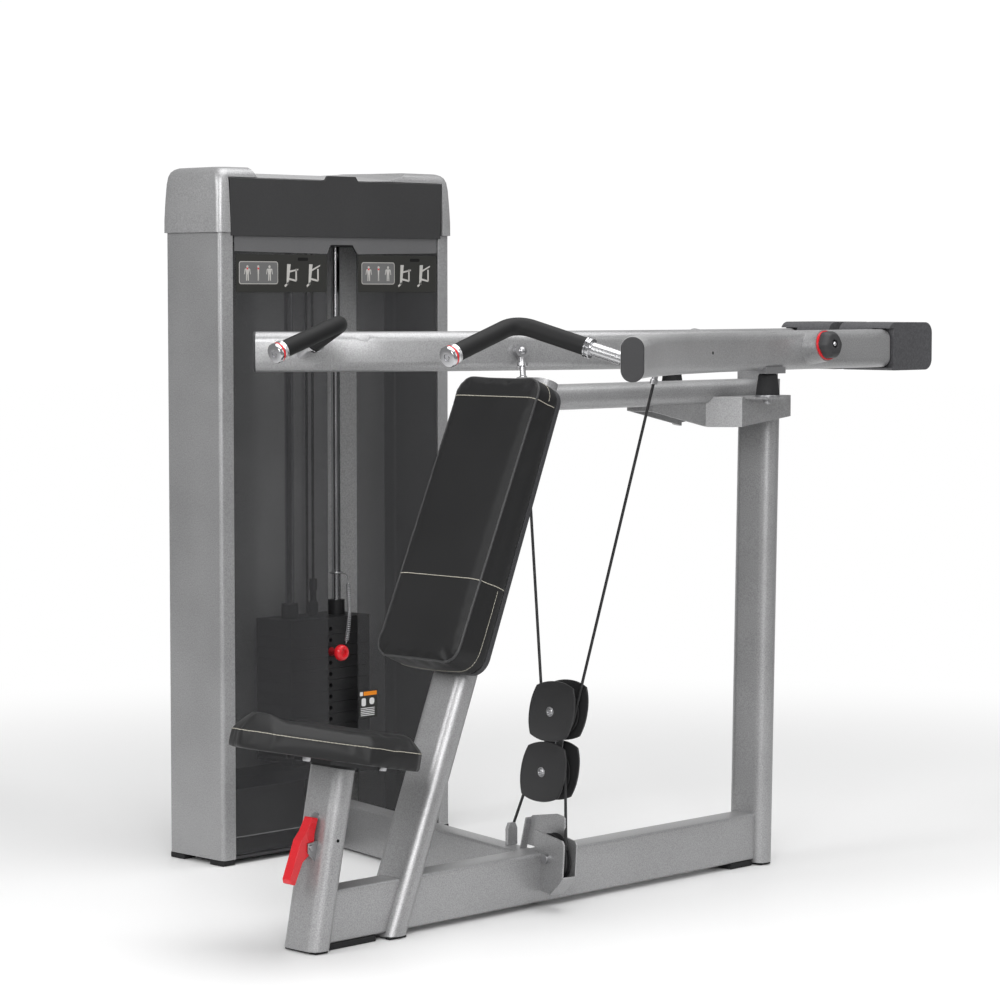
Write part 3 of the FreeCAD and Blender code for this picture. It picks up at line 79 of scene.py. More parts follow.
X, Y, Z = Vector((1, 0, 0)), Vector((0, 1, 0)), Vector((0, 0, 1))
SIDES = (("left", 1), ("right", -1))  # each arm's name, and the sign of its side


def middle(node):
    """The middle of a node's box."""
    low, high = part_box(node)
    return (low + high) / 2

# ---- materials


def shader_node(tree, kind, inputs):
    """A shader node whose inputs are set to values, or joined to other nodes' outputs."""
    node = tree.nodes.new(kind)
    for name, value in inputs.items():
        if isinstance(value, bpy.types.NodeSocket):
            tree.links.new(value, node.inputs[name])
        else:
            node.inputs[name].default_value = value
    return node


def surface(name, colour, roughness, metallic=0.0, grain=900.0, contrast=0.12, bump=0.1, depth=0.0002,
            coat=0.0, patches=0.06, alpha=1.0):
    """A painted, moulded or cast surface: fine grain, soft patches of tone, roughness and bump to match."""
    material = bpy.data.materials.new(name)
    material.use_nodes = True
    tree = material.node_tree
    place = shader_node(tree, "ShaderNodeTexCoord", {}).outputs["Object"]

    def noise(scale, detail):
        return shader_node(tree, "ShaderNodeTexNoise",
                           {"Scale": scale, "Detail": detail, "Vector": place}).outputs["Fac"]

    def ranged(source, low, high):
        span = {"From Min": 0.3, "From Max": 0.7, "To Min": low, "To Max": high, "Value": source}
        return shader_node(tree, "ShaderNodeMapRange", span).outputs["Result"]

    fine, broad = noise(grain, 2.0), noise(6.0, 4.0)
    tone = shader_node(tree, "ShaderNodeMath", {0: ranged(fine, 1 - contrast, 1 + contrast),
                                                1: ranged(broad, 1 - patches, 1 + patches)})
    tone.operation = "MULTIPLY"
    tint = tree.nodes.new("ShaderNodeVectorMath")
    tint.operation = "SCALE"
    tint.inputs[0].default_value = colour
    tree.links.new(tone.outputs[0], tint.inputs["Scale"])
    relief = shader_node(tree, "ShaderNodeBump", {"Strength": bump, "Distance": depth, "Height": fine})
    shader = tree.nodes["Principled BSDF"]
    shader.inputs["Specular IOR Level"].default_value = 0.5 if metallic > 0.3 else 0.28
    shader.inputs["Metallic"].default_value = metallic
    shader.inputs["Coat Weight"].default_value = coat
    shader.inputs["Alpha"].default_value = alpha
    tree.links.new(tint.outputs[0], shader.inputs["Base Color"])
    tree.links.new(ranged(broad, roughness - 0.04, roughness + 0.05), shader.inputs["Roughness"])
    tree.links.new(relief.outputs["Normal"], shader.inputs["Normal"])
    return material


def vinyl(name, colour):
    """Upholstery vinyl: a pebbled leather grain of small cells under the fine one."""
    material = surface(name, colour, 0.5, bump=0.2, contrast=0.1, patches=0.12)
    tree = material.node_tree
    place = next(node for node in tree.nodes if node.type == "TEX_COORD")
    fine = next(node for node in tree.nodes if node.type == "BUMP")
    cells = shader_node(tree, "ShaderNodeTexVoronoi", {"Scale": 620, "Vector": place.outputs["Object"]})
    cells.feature = "DISTANCE_TO_EDGE"
    relief = shader_node(tree, "ShaderNodeBump",
                         {"Strength": 0.25, "Distance": 0.0004, "Height": cells.outputs["Distance"]})
    tree.links.new(relief.outputs["Normal"], fine.inputs["Normal"])
    return material


SILVER = surface("silver_powder_coat", (0.36, 0.36, 0.365), 0.4, metallic=0.6, grain=420,
                 contrast=0.2, bump=0.16)
SILVER_MOULDING = surface("silver_moulding", (0.38, 0.38, 0.385), 0.38, metallic=0.5,
                          grain=420, contrast=0.2)
CHARCOAL = surface("charcoal_paint", (0.045, 0.045, 0.048), 0.5, metallic=0.1, grain=500,
                   contrast=0.25, bump=0.2)
CASTING = surface("painted_casting", (0.075, 0.075, 0.08), 0.52, grain=260, contrast=0.2,
                  bump=0.35, depth=0.0004)
PLATE_BLACK = surface("stack_paint", (0.018, 0.018, 0.019), 0.45, grain=350, contrast=0.2,
                      bump=0.25)
RUBBER = surface("black_rubber", (0.016, 0.016, 0.017), 0.7, grain=700, contrast=0.2, bump=0.4,
                 depth=0.0003)
FOAM_GRIP = surface("grip_rubber", (0.010, 0.010, 0.0105), 0.62, grain=1400, contrast=0.2,
                    bump=0.5)
CHROME = surface("chrome", (0.55, 0.55, 0.565), 0.16, metallic=1.0, grain=200, contrast=0.03,
                 bump=0.02)
ZINC = surface("zinc_plate", (0.42, 0.42, 0.43), 0.32, metallic=1.0, contrast=0.1, bump=0.08)
BLACK_PLASTIC = surface("black_plastic", (0.02, 0.02, 0.021), 0.42, contrast=0.15,
                        bump=0.25)
WHEEL_COVER = surface("cover_plastic", (0.030, 0.030, 0.031), 0.38, contrast=0.15,
                      bump=0.2)
CABLE_SKIN = surface("cable_skin", (0.022, 0.022, 0.023), 0.4, contrast=0.15, bump=0.15)
RED = surface("red_paint", (0.62, 0.014, 0.022), 0.3, grain=500, contrast=0.06, bump=0.05, coat=0.4)
PANEL_GREY = surface("panel_grey", (0.036, 0.036, 0.037), 0.5, grain=700, bump=0.12)
TITLE_GREY = surface("title_strip", (0.115, 0.115, 0.118), 0.4, grain=700, contrast=0.08,
                     bump=0.05)
CARD = surface("placard", (0.024, 0.024, 0.022), 0.5, contrast=0.08, bump=0.05)
CARD_LIGHT = surface("placard_light", (0.13, 0.13, 0.13), 0.5, contrast=0.05, bump=0.03)
FIGURE = surface("placard_figure", (0.45, 0.44, 0.42), 0.5, contrast=0.05, bump=0.03)
PRINT_WHITE = surface("print_white", (0.75, 0.75, 0.75), 0.5, contrast=0.04, bump=0.02)
PRINT_ORANGE = surface("print_orange", (0.85, 0.26, 0.01), 0.5, contrast=0.05, bump=0.02)
THREAD = surface("beige_thread", (0.42, 0.40, 0.34), 0.7, grain=2500, contrast=0.2, bump=0.3)
TINTED = surface("tinted_sheet", (0.045, 0.045, 0.047), 0.2, grain=300, contrast=0.03, bump=0.01,
                 alpha=0.52)
SEAT_VINYL = vinyl("seat_vinyl", (0.014, 0.014, 0.0145))
BACK_VINYL = vinyl("backrest_vinyl", (0.011, 0.011, 0.0115))
# the welt's lighter grey is a painted highlight along the backrest's front edges, over the dark vinyl of the
# piping
WELT_VINYL_PAINTED_HIGHLIGHT = surface("welt_vinyl_painted_highlight", (0.05, 0.05, 0.051), 0.32, contrast=0.1)
# near-black: painted shade inside the small drilled holes, and black print on the placards
HOLE_SHADE_AND_BLACK_PRINT = surface("painted_hole_shade_and_black_print", (0.004, 0.004, 0.004), 0.9, contrast=0.1, bump=0.05)
BLACK_CAP = surface("cap_plastic", (0.040, 0.040, 0.042), 0.45, bump=0.15)
BRIGHT_TUBE = surface("bright_tube", (0.62, 0.62, 0.63), 0.28, metallic=0.9, grain=300,
                      contrast=0.05, bump=0.03)
REAR_GREY = surface("rear_sheet_grey", (0.72, 0.72, 0.725), 0.45, metallic=0.2, grain=420,
                    contrast=0.2)
# a darker copy of the red: painted shade on the selector pin's base, where it sits in the plate's slot
RED_PAINTED_SHADE = surface("red_plastic_painted_shade", (0.22, 0.01, 0.014), 0.35, grain=500, contrast=0.06,
                   bump=0.05)


# ---- mesh helpers


def new_object(name, data):
    """An object with its data, linked into the scene."""
    obj = bpy.data.objects.new(name, data)
    bpy.context.scene.collection.objects.link(obj)
    return obj


def mesh_object(name, bm, material, body, smooth=35):
    """A new piece from a bmesh, shaded smooth up to an angle, riding on a body unless it is None."""
    mesh = bpy.data.meshes.new(name)
    bm.to_mesh(mesh)
    bm.free()
    obj = new_object(name, mesh)
    mesh.materials.append(material)
    if smooth:
        mesh.shade_smooth()
        mesh.set_sharp_from_angle(angle=math.radians(smooth))
    if body:
        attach(obj, body)
    return obj


def bevel(obj, width, segments=3, angle=32):
    """Soften the sharp edges of a piece."""
    step = obj.modifiers.new("soft_edges", "BEVEL")
    step.width, step.segments = width, segments
    step.limit_method, step.angle_limit = "ANGLE", math.radians(angle)
    step.harden_normals = True
    return obj


def cad_mesh(node):
    """A node's mesh with its seams closed and its flat faces joined."""
    bm = bmesh.new()
    bm.from_mesh(NODES[node].data)
    bmesh.ops.remove_doubles(bm, verts=bm.verts, dist=2e-6)
    bmesh.ops.dissolve_limit(bm, angle_limit=math.radians(0.4), verts=bm.verts, edges=bm.edges)
    return bm


def shells(bm):
    """The separate closed shells of a mesh, as lists of faces."""
    left, found = set(bm.faces), []
    while left:
        seed = next(face for face in bm.faces if face in left)
        left.discard(seed)
        queue, shell = [seed], []
        while queue:
            face = queue.pop()
            shell.append(face)
            for edge in face.edges:
                for other in edge.link_faces:
                    if other in left:
                        left.discard(other)
                        queue.append(other)
        found.append(shell)
    return found


def shell_box(shell):
    points = np.array([v.co for face in shell for v in face.verts])
    return Vector(points.min(0)), Vector(points.max(0))


def refine(node, choose):
    """Replace a node by softened copies of its shells.

    choose(low, high) gives each shell's (name, material, edge softening), or None to leave it out. Shells of
    one name are one piece.
    """
    bm = cad_mesh(node)
    groups = {}
    for shell in shells(bm):
        chosen = choose(*shell_box(shell))
        if chosen:
            name, material, width = chosen
            groups.setdefault(name, (material, width, set()))[2].update(face.index for face in shell)
    body = NODES[node]["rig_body"]
    made = []
    for name, (material, width, keep) in groups.items():
        part = bm.copy()
        part.faces.ensure_lookup_table()
        drop = [face for face in part.faces if face.index not in keep]
        bmesh.ops.delete(part, geom=drop, context="FACES")
        obj = mesh_object(name, part, material, body)
        if width:
            bevel(obj, width)
        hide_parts(node)
        made.append(obj)
    bm.free()
    return made


def whole(name, material, width):
    """A chooser for refine() that keeps all of a node in one piece."""
    return lambda low, high: (name, material, width)


def paint(node, material):
    """Give a CAD node a better material and leave its shape."""
    mesh = NODES[node].data
    mesh.materials.clear()
    mesh.materials.append(material)


def turn_to(direction):
    """The rotation that takes +Z to a direction."""
    return Vector(direction).to_track_quat("Z", "Y").to_matrix().to_4x4()


def lathe(profile, steps=40):
    """A bmesh turned about +Z from (radius, height) points in millimetres."""
    bm = bmesh.new()
    rings = []
    for radius, height in profile:
        if radius == 0:
            rings.append([bm.verts.new((0, 0, height * MM))])
            continue
        angles = [2 * math.pi * i / steps for i in range(steps)]
        rings.append([bm.verts.new((radius * MM * math.cos(a), radius * MM * math.sin(a), height * MM))
                      for a in angles])
    for low, high in zip(rings, rings[1:]):
        for i in range(steps):
            j = (i + 1) % steps
            loop = [low[i % len(low)], low[j % len(low)], high[j % len(high)], high[i % len(high)]]
            loop = list(dict.fromkeys(loop))
            if len(loop) > 2:
                bm.faces.new(loop)
    for ring, flip in ((rings[0], True), (rings[-1], False)):
        if len(ring) > 2:
            bm.faces.new(ring[::-1] if flip else ring)
    bmesh.ops.recalc_face_normals(bm, faces=bm.faces)
    return bm


def turned(name, profile, place, direction, material, body):
    """A lathe's piece, set at a place with its axis along a direction."""
    bm = lathe(profile)
    bm.transform(Matrix.Translation(place) @ turn_to(direction))
    return mesh_object(name, bm, material, body)


def loft(rings):
    """A closed bmesh over rings of points, each with as many points as the next."""
    bm = bmesh.new()
    rings = [[bm.verts.new(point) for point in ring] for ring in rings]
    bm.faces.new(rings[0][::-1])
    bm.faces.new(rings[-1])
    for low, high in zip(rings, rings[1:]):
        for i in range(len(low)):
            j = (i + 1) % len(low)
            bm.faces.new((low[i], low[j], high[j], high[i]))
    bmesh.ops.recalc_face_normals(bm, faces=bm.faces)
    return bm


def prism(outline, low, high, basis=None):
    """A bmesh prism: an outline in a plane, raised from low to high along its normal.

    basis is a 4x4 matrix that takes the outline's plane (local XY) to its place.
    """
    bm = loft([[(x, y, level) for x, y in outline] for level in (low, high)])
    if basis:
        bm.transform(basis)
    return bm


def rounded(width, height, radius, centre=(0, 0), steps=6):
    """A rounded rectangle's outline."""
    points = []
    for quadrant, (sx, sy) in enumerate(((1, 1), (-1, 1), (-1, -1), (1, -1))):
        cx, cy = centre[0] + sx * (width / 2 - radius), centre[1] + sy * (height / 2 - radius)
        for i in range(steps + 1):
            angle = math.pi / 2 * (quadrant + i / steps)
            points.append((cx + radius * math.cos(angle), cy + radius * math.sin(angle)))
    return points


def disc_outline(radius, centre=(0, 0), steps=24):
    return [(centre[0] + radius * math.cos(2 * math.pi * i / steps),
             centre[1] + radius * math.sin(2 * math.pi * i / steps)) for i in range(steps)]


def join(*parts):
    """One bmesh from several."""
    whole_mesh = bmesh.new()
    for part in parts:
        scratch = bpy.data.meshes.new("scratch")
        part.to_mesh(scratch)
        part.free()
        whole_mesh.from_mesh(scratch)
        bpy.data.meshes.remove(scratch)
    return whole_mesh


def tube_mesh(points, radius, sides=10, closed=False):
    """A bmesh tube along a list of points."""
    bm = bmesh.new()
    path = [Vector(p) for p in points]
    count = len(path)
    normal = None
    rings = []
    for i, here in enumerate(path):
        before = path[i - 1] if i or closed else here
        after = path[(i + 1) % count] if i < count - 1 or closed else here
        along = (after - before).normalized()
        if normal is None:
            normal = along.orthogonal().normalized()
        normal = (normal - along * normal.dot(along)).normalized()
        side = along.cross(normal)
        rings.append([bm.verts.new(here + (normal * math.cos(2 * math.pi * k / sides)
                                           + side * math.sin(2 * math.pi * k / sides)) * radius)
                      for k in range(sides)])
    pairs = list(zip(rings, rings[1:])) + ([(rings[-1], rings[0])] if closed else [])
    for low, high in pairs:
        shift = 0
        if closed and low is rings[-1]:
            shift = min(range(sides), key=lambda s: (low[0].co - high[s].co).length)
        for k in range(sides):
            j = (k + 1) % sides
            bm.faces.new((low[k], low[j], high[(j + shift) % sides], high[(k + shift) % sides]))
    if not closed:
        bm.faces.new(rings[0][::-1])
        bm.faces.new(rings[-1])
    bmesh.ops.recalc_face_normals(bm, faces=bm.faces)
    return bm


def resample(points, spacing, closed=True):
    """Points at even distances along a polyline."""
    path = [Vector(p) for p in points]
    if closed:
        path.append(path[0])
    lengths = [0.0]
    for a, b in zip(path, path[1:]):
        lengths.append(lengths[-1] + (b - a).length)
    count = max(2, round(lengths[-1] / spacing))
    result, k = [], 0
    for i in range(count if closed else count + 1):
        goal = lengths[-1] * i / count
        while lengths[k + 1] < goal - 1e-9:
            k += 1
        share = (goal - lengths[k]) / (lengths[k + 1] - lengths[k])
        result.append(path[k].lerp(path[k + 1], share))
    return result


def on_surface(tree, points, lift):
    """Points moved to the nearest place of a surface, then out along its normal."""
    found = []
    for point in points:
        place, normal, _, _ = tree.find_nearest(point)
        found.append(place + normal * lift)
    return found


def stitches(name, path, body, closed, radius=0.8 * MM, stitch=6 * MM, gap=1.4 * MM):
    """A row of thread stitches along a path of closely spaced points."""
    spacing = 0.8 * MM
    dense = resample(path, spacing, closed)
    step, run = round((stitch + gap) / spacing), round(stitch / spacing)
    parts = []
    for start in range(0, len(dense) - run, step):
        part = dense[start:start + run + 1:max(1, run // 3)]
        parts.append(tube_mesh(part, radius, sides=6))
    mesh_object(name, join(*parts), THREAD, body, smooth=60)

# ---- stuffed pads

CLOTH_STEPS = 20

def pumped(name, node, shrink, voxel, pressure, cap, material, fixed):
    """A padded piece: the CAD solid drawn in, remeshed, swollen by cloth pressure and smoothed.

    fixed(point) is true where the pad rests on its board and stays flat.
    """
    bm = cad_mesh(node)
    bmesh.ops.triangulate(bm, faces=bm.faces)
    obj = mesh_object(name, bm, material, None, smooth=None)
    centre = middle(node)
    for vertex in obj.data.vertices:
        offset = vertex.co - centre
        vertex.co = centre + offset * (1 - shrink / max(offset.length, 0.02))
    bpy.context.view_layer.objects.active = obj
    remesh = obj.modifiers.new("even", "REMESH")
    remesh.mode, remesh.voxel_size = "VOXEL", voxel
    apply_modifiers(obj)
    rest = np.array([v.co for v in obj.data.vertices])
    group = obj.vertex_groups.new(name="held")
    held = [v.index for v in obj.data.vertices if fixed(v.co)]
    group.add(held, 1.0, "REPLACE")
    cloth = obj.modifiers.new("swell", "CLOTH")
    cloth.settings.quality = 6
    cloth.settings.mass = 0.4
    cloth.settings.use_pressure = True
    cloth.settings.uniform_pressure_force = pressure
    cloth.settings.effector_weights.gravity = 0
    cloth.settings.vertex_group_mass = "held"
    cloth.settings.tension_stiffness = 45
    cloth.settings.compression_stiffness = 45
    cloth.settings.bending_stiffness = 12
    cloth.collision_settings.use_collision = False
    for step in range(1, CLOTH_STEPS + 1):
        bpy.context.scene.frame_set(step)
    apply_modifiers(obj)
    moved = np.array([v.co for v in obj.data.vertices]) - rest
    length = np.linalg.norm(moved, axis=1, keepdims=True)
    moved *= np.minimum(1.0, cap / np.maximum(length, 1e-9))
    for vertex, place in zip(obj.data.vertices, rest + moved):
        vertex.co = place
    bpy.context.scene.frame_set(1)
    smooth_step = obj.modifiers.new("relax", "SMOOTH")
    smooth_step.factor, smooth_step.iterations = 0.5, 3
    subdivide = obj.modifiers.new("fine", "SUBSURF")
    subdivide.levels = subdivide.render_levels = 1
    apply_modifiers(obj)
    obj.data.shade_smooth()
    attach(obj, NODES[node]["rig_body"])
    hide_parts(node)
    return obj


def apply_modifiers(obj):
    bpy.context.view_layer.update()
    graph = bpy.context.evaluated_depsgraph_get()
    mesh = bpy.data.meshes.new_from_object(obj.evaluated_get(graph))
    materials = list(obj.data.materials)
    obj.modifiers.clear()
    old, obj.data = obj.data, mesh
    bpy.data.meshes.remove(old)
    mesh.materials.clear()
    for material in materials:
        mesh.materials.append(material)


def surface_tree(obj):
    return BVHTree.FromPolygons([v.co for v in obj.data.vertices], [p.vertices for p in obj.data.polygons])

# ---- camera, floor and light

ORIGIN = Vector((0.20765, -0.07716, 0.0))  # the machine's middle line and zero line, in the frame


def at(x, y, z):
    """A place given in millimetres from the machine's middle plane, as the CAD source gives it."""
    return ORIGIN + Vector((x, y, z)) * MM


CAMERA_TILT, CAMERA_HEADING = 3.81, 44.64  # degrees: downwards, and round from the +Y direction

camera = new_object("camera", bpy.data.cameras.new("camera"))
camera.location = (4.56765, -4.67716, 1.240)
camera.rotation_euler = (math.radians(90 - CAMERA_TILT), 0, math.radians(CAMERA_HEADING))
camera.data.lens = 112.8
camera.data.sensor_width = 36
bpy.context.scene.camera = camera
bpy.context.scene.view_settings.view_transform = "Standard"

BACKDROP = (-0.7028, 0.7107, -0.02)  # the side on which the white backdrop stands
STUDIO_GREY = 0.32


def soft_step(tree, source, start, end, low=0.0, high=1.0):
    """A smooth step from low to high as a value runs from start to end."""
    span = {"From Min": start, "From Max": end, "To Min": low, "To Max": high, "Value": source}
    step = shader_node(tree, "ShaderNodeMapRange", span)
    step.interpolation_type = "SMOOTHSTEP"
    return step.outputs["Result"]


def floor_material():
    """A pale floor that fades with distance to the backdrop, or to the grey studio beside it."""
    material = bpy.data.materials.new("pale_floor")
    material.use_nodes = True
    tree = material.node_tree
    link = tree.links.new
    shader = tree.nodes["Principled BSDF"]
    shader.inputs["Base Color"].default_value = (0.86, 0.86, 0.86, 1)
    shader.inputs["Roughness"].default_value = 0.55
    shader.inputs["Specular IOR Level"].default_value = 0.2
    place = shader_node(tree, "ShaderNodeTexCoord", {}).outputs["Object"]
    distance = shader_node(tree, "ShaderNodeVectorMath", {0: place})
    distance.operation = "LENGTH"
    share = soft_step(tree, distance.outputs["Value"], 1.2, 3.6)
    heading = shader_node(tree, "ShaderNodeVectorMath", {0: place})
    heading.operation = "NORMALIZE"
    facing = shader_node(tree, "ShaderNodeVectorMath", {0: heading.outputs["Vector"], 1: BACKDROP})
    facing.operation = "DOT_PRODUCT"
    strength = soft_step(tree, facing.outputs["Value"], 0.50, 0.76, STUDIO_GREY)
    light = shader_node(tree, "ShaderNodeEmission", {"Color": (1, 1, 1, 1), "Strength": strength})
    mix = shader_node(tree, "ShaderNodeMixShader", {"Fac": share, 1: shader.outputs[0], 2: light.outputs[0]})
    link(mix.outputs[0], tree.nodes["Material Output"].inputs["Surface"])
    return material


floor = bmesh.new()
bmesh.ops.create_grid(floor, x_segments=8, y_segments=8, size=30)
floor_mesh = bpy.data.meshes.new("floor")
floor.to_mesh(floor_mesh)
floor.free()
floor_object = new_object("floor", floor_mesh)
floor_object.location.z = -0.0005
floor_mesh.materials.append(floor_material())

world = bpy.data.worlds.new("studio")
world.use_nodes = True
bpy.context.scene.world = world


def backdrop(tree, towards, dim, bright):
    """A white backdrop on the side the machine is usually seen against, grey elsewhere."""
    place = shader_node(tree, "ShaderNodeTexCoord", {}).outputs["Generated"]
    facing = shader_node(tree, "ShaderNodeVectorMath", {0: place, 1: towards})
    facing.operation = "DOT_PRODUCT"
    background = tree.nodes["Background"]
    background.inputs["Color"].default_value = (1, 1, 1, 1)
    strength = soft_step(tree, facing.outputs["Value"], 0.90, 0.965, dim, bright)
    tree.links.new(strength, background.inputs["Strength"])


backdrop(world.node_tree, BACKDROP, STUDIO_GREY, 1.02)


def softbox(name, place, target, size, power):
    """A rectangular area light, turned to a target."""
    light = bpy.data.lights.new(name, "AREA")
    light.shape, light.size, light.size_y = "RECTANGLE", size[0], size[1]
    light.energy = power
    obj = new_object(name, light)
    obj.location = place
    obj.rotation_euler = (Vector(target) - Vector(place)).to_track_quat("-Z", "Y").to_euler()


softbox("overhead", (0.6, 0.4, 4.4), (0, 0, 0.6), (4.0, 4.0), 150)
softbox("front", (3.6, -3.9, 2.9), (0, 0, 0.8), (3.0, 2.8), 170)
softbox("right_side", (4.2, 1.8, 2.4), (0, 0, 0.8), (1.0, 2.6), 14)
softbox("left_side", (-0.6, -4.6, 2.6), (-0.5, 0, 0.9), (2.0, 2.0), 75)

# ---- lanyard of the selector pin

# control points of the lanyard's route, from the ring round the guide rod to the pin's knob
LANYARD = ((-0.63735, 0.08284, 0.606), (-0.60735, 0.07484, 0.608), (-0.58035, 0.05284, 0.590),
           (-0.57035, 0.04484, 0.555), (-0.56635, 0.04284, 0.515), (-0.56035, 0.03284, 0.480),
           (-0.55235, 0.01984, 0.458))


def route_points(name, control):
    """Points along a smooth NURBS route."""
    curve = bpy.data.curves.new(name, "CURVE")
    curve.dimensions = "3D"
    spline = curve.splines.new("NURBS")
    spline.points.add(len(control) - 1)
    for point, place in zip(spline.points, control):
        point.co = (*place, 1)
    spline.order_u = 3
    spline.use_endpoint_u = True
    curve.resolution_u = 24
    obj = new_object(name, curve)
    bpy.context.view_layer.update()
    mesh = bpy.data.meshes.new_from_object(obj)
    points = [v.co.copy() for v in mesh.vertices]
    bpy.data.meshes.remove(mesh)
    bpy.data.objects.remove(obj)
    bpy.data.curves.remove(curve)
    return points


def helix(points, radius, pitch, steps, curl_from, curl_to):
    """A line that curls round a route between two shares of its length, and runs straight outside them."""
    fine = resample(points, pitch / steps, closed=False)
    result, normal = [], None
    count = len(fine)
    for i, here in enumerate(fine):
        along = (fine[min(i + 1, count - 1)] - fine[max(i - 1, 0)]).normalized()
        normal = along.orthogonal() if normal is None else normal - along * normal.dot(along)
        normal.normalize()
        share = i / (count - 1)
        rise = min(max((share - curl_from) / 0.05, 0), 1, max((curl_to - share) / 0.03, 0))
        swing = radius * rise * rise * (3 - 2 * rise)
        turn = 2 * math.pi * i / steps
        result.append(here + (normal * math.cos(turn) + along.cross(normal) * math.sin(turn)) * swing)
    return result


route = route_points("lanyard_route", LANYARD)
CURL_RADIUS, CURL_PITCH, WIRE = 4.2 * MM, 4.4 * MM, 2.0 * MM
curl = helix(route, CURL_RADIUS, CURL_PITCH, 14, 0.30, 0.985)
cord_steel = surface("lanyard_skin", (0.30, 0.30, 0.31), 0.3, metallic=0.6, grain=1500,
                     contrast=0.15)
lanyard = mesh_object("lanyard_cord", tube_mesh(curl, WIRE / 2, sides=8), cord_steel, None, smooth=70)
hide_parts("lanyard")
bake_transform(lanyard)


# ---- frame tubes and posts


def straight_tube(name, outline, start, end, up, material, body, node, tools=()):
    """A closed bar of an outline between two points, with cuts made by tool meshes."""
    run = end - start
    z_axis = run.normalized()
    x_axis = up.cross(z_axis).normalized()
    basis = Matrix((x_axis, up.normalized(), z_axis)).transposed().to_4x4()
    basis.translation = start
    obj = mesh_object(name, prism(outline, 0, run.length, basis), material, body)
    for tool in tools:
        carve(obj, tool)
    obj.data.shade_smooth()
    obj.data.set_sharp_from_angle(angle=math.radians(30))
    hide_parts(node)
    return obj


def carve(obj, tool_mesh):
    """Cut a closed bmesh out of a piece."""
    mesh = bpy.data.meshes.new("tool")
    tool_mesh.to_mesh(mesh)
    tool_mesh.free()
    tool = new_object("tool", mesh)
    step = obj.modifiers.new("cut", "BOOLEAN")
    step.operation, step.solver, step.object = "DIFFERENCE", "EXACT", tool
    apply_modifiers(obj)
    bpy.data.objects.remove(tool)
    bpy.data.meshes.remove(mesh)


def block(low, high):
    """A bmesh block between two corners."""
    size = high - low
    bm = prism(rounded(size.x, size.y, min(size.x, size.y) * 0.05, steps=2), 0, size.z)
    bm.transform(Matrix.Translation(((low.x + high.x) / 2, (low.y + high.y) / 2, low.z)))
    return bm


CROSS_TURN = math.radians(12.7)  # the cross tube's slant from the X axis
ALONG_CROSS = Vector((math.cos(CROSS_TURN), -math.sin(CROSS_TURN), 0))
ACROSS_CROSS = Vector((math.sin(CROSS_TURN), math.cos(CROSS_TURN), 0))


def on_cross(x, z):
    """A place over the cross tube's middle line."""
    return at(x, -74 - math.tan(CROSS_TURN) * x, z)


PULLEY_X = 54  # the base pulley's middle, along X from the machine's middle plane
pulley_slot = lathe([(0, -12), (53, -12), (53, 12), (0, 12)], 48)
pulley_slot.transform(Matrix.Translation(on_cross(PULLEY_X, 104)) @ turn_to(ACROSS_CROSS))
passage = block(at(-100, -94, 46), at(100, -54, 72))
TUBE_HEIGHT, TUBE_EDGE = 100 * MM, 6 * MM
straight_tube("base_tube_painted", rounded(60 * MM, TUBE_HEIGHT, TUBE_EDGE), at(0, -690, 62),
              at(0, 580, 62), Z, SILVER, "frame", "base_tube", (pulley_slot, passage))
straight_tube("cross_tube_painted", rounded(50 * MM, TUBE_HEIGHT, TUBE_EDGE), on_cross(-832, 54),
              on_cross(-10, 54), Z, SILVER, "frame", "cross_tube")
for nodes, finish, material, width in (
        (("seat_post", "back_post", "rear_upright", "top_tube", "pivot_beam", "bumper_bracket",
          "tower_columns"), "painted", SILVER, 0.8 * MM),
        (("rubber_feet",), "moulded", RUBBER, 2 * MM), (("arm_bumpers",), "moulded", RUBBER, 1 * MM),
        (("frame_bolts",), "plated", ZINC, 0.7 * MM), (("tower_frame",), "painted", CHARCOAL, 0.6 * MM),
        (("lever_bracket",), "plated", ZINC, 0.5 * MM), (("post_bush",), "moulded", BLACK_PLASTIC, 1 * MM),
        (("backrest_board",), "painted", CHARCOAL, 1 * MM)):
    for node in nodes:
        refine(node, whole(f"{node}_{finish}", material, width))
stem = refine("seat_stem", whole("seat_stem_plated", ZINC, 0.8 * MM))[0]


def bracket_sheet(name, outline, low, high):
    """A sheet of the pulley bracket: an outline along the cross tube and upwards, between two depths across.

    Both are in millimetres, from the base pulley's middle and the floor.
    """
    basis = Matrix((ALONG_CROSS, Z, -ACROSS_CROSS)).transposed().to_4x4()
    centre = on_cross(PULLEY_X, 0)
    basis.translation = Vector((centre.x, centre.y, 0))
    points = [(u * MM, z * MM) for u, z in outline]
    sheet = mesh_object(name, prism(points, low * MM, high * MM, basis), SILVER, "frame")
    bevel(sheet, 1 * MM, 2, 40)
    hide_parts("base_bracket")


BRACKET_FRONT = [(-32, 34), (9, 34), (44, 62), (56, 74), (61, 132)]  # the lower front edge of both sheets
bracket_sheet("bracket_near_sheet", [(-44, 100), *BRACKET_FRONT, (61, 140), (55, 147), (-46, 157)], 13, 17)
bracket_sheet("bracket_far_sheet", [(-125, 112), (-32, 112), *BRACKET_FRONT, (61, 138), (55, 144), (18, 148),
                                    (18, 184), (12, 188), (-12, 190), (-100, 175), (-106, 170)], -18, -14)
bracket_sheet("bracket_fold", [(-128, 103), (-124, 103), (-102, 168), (-106, 171)], -17, -1)
bracket_sheet("bracket_lip", [(9, 34), (11, 31), (46, 59), (57, 71), (56, 74), (44, 62)], -17, 17)


def tab_piece(low, high):
    return ("anchor_tab", SILVER, 0.8 * MM) if high.x < at(-50, 0, 0).x else None


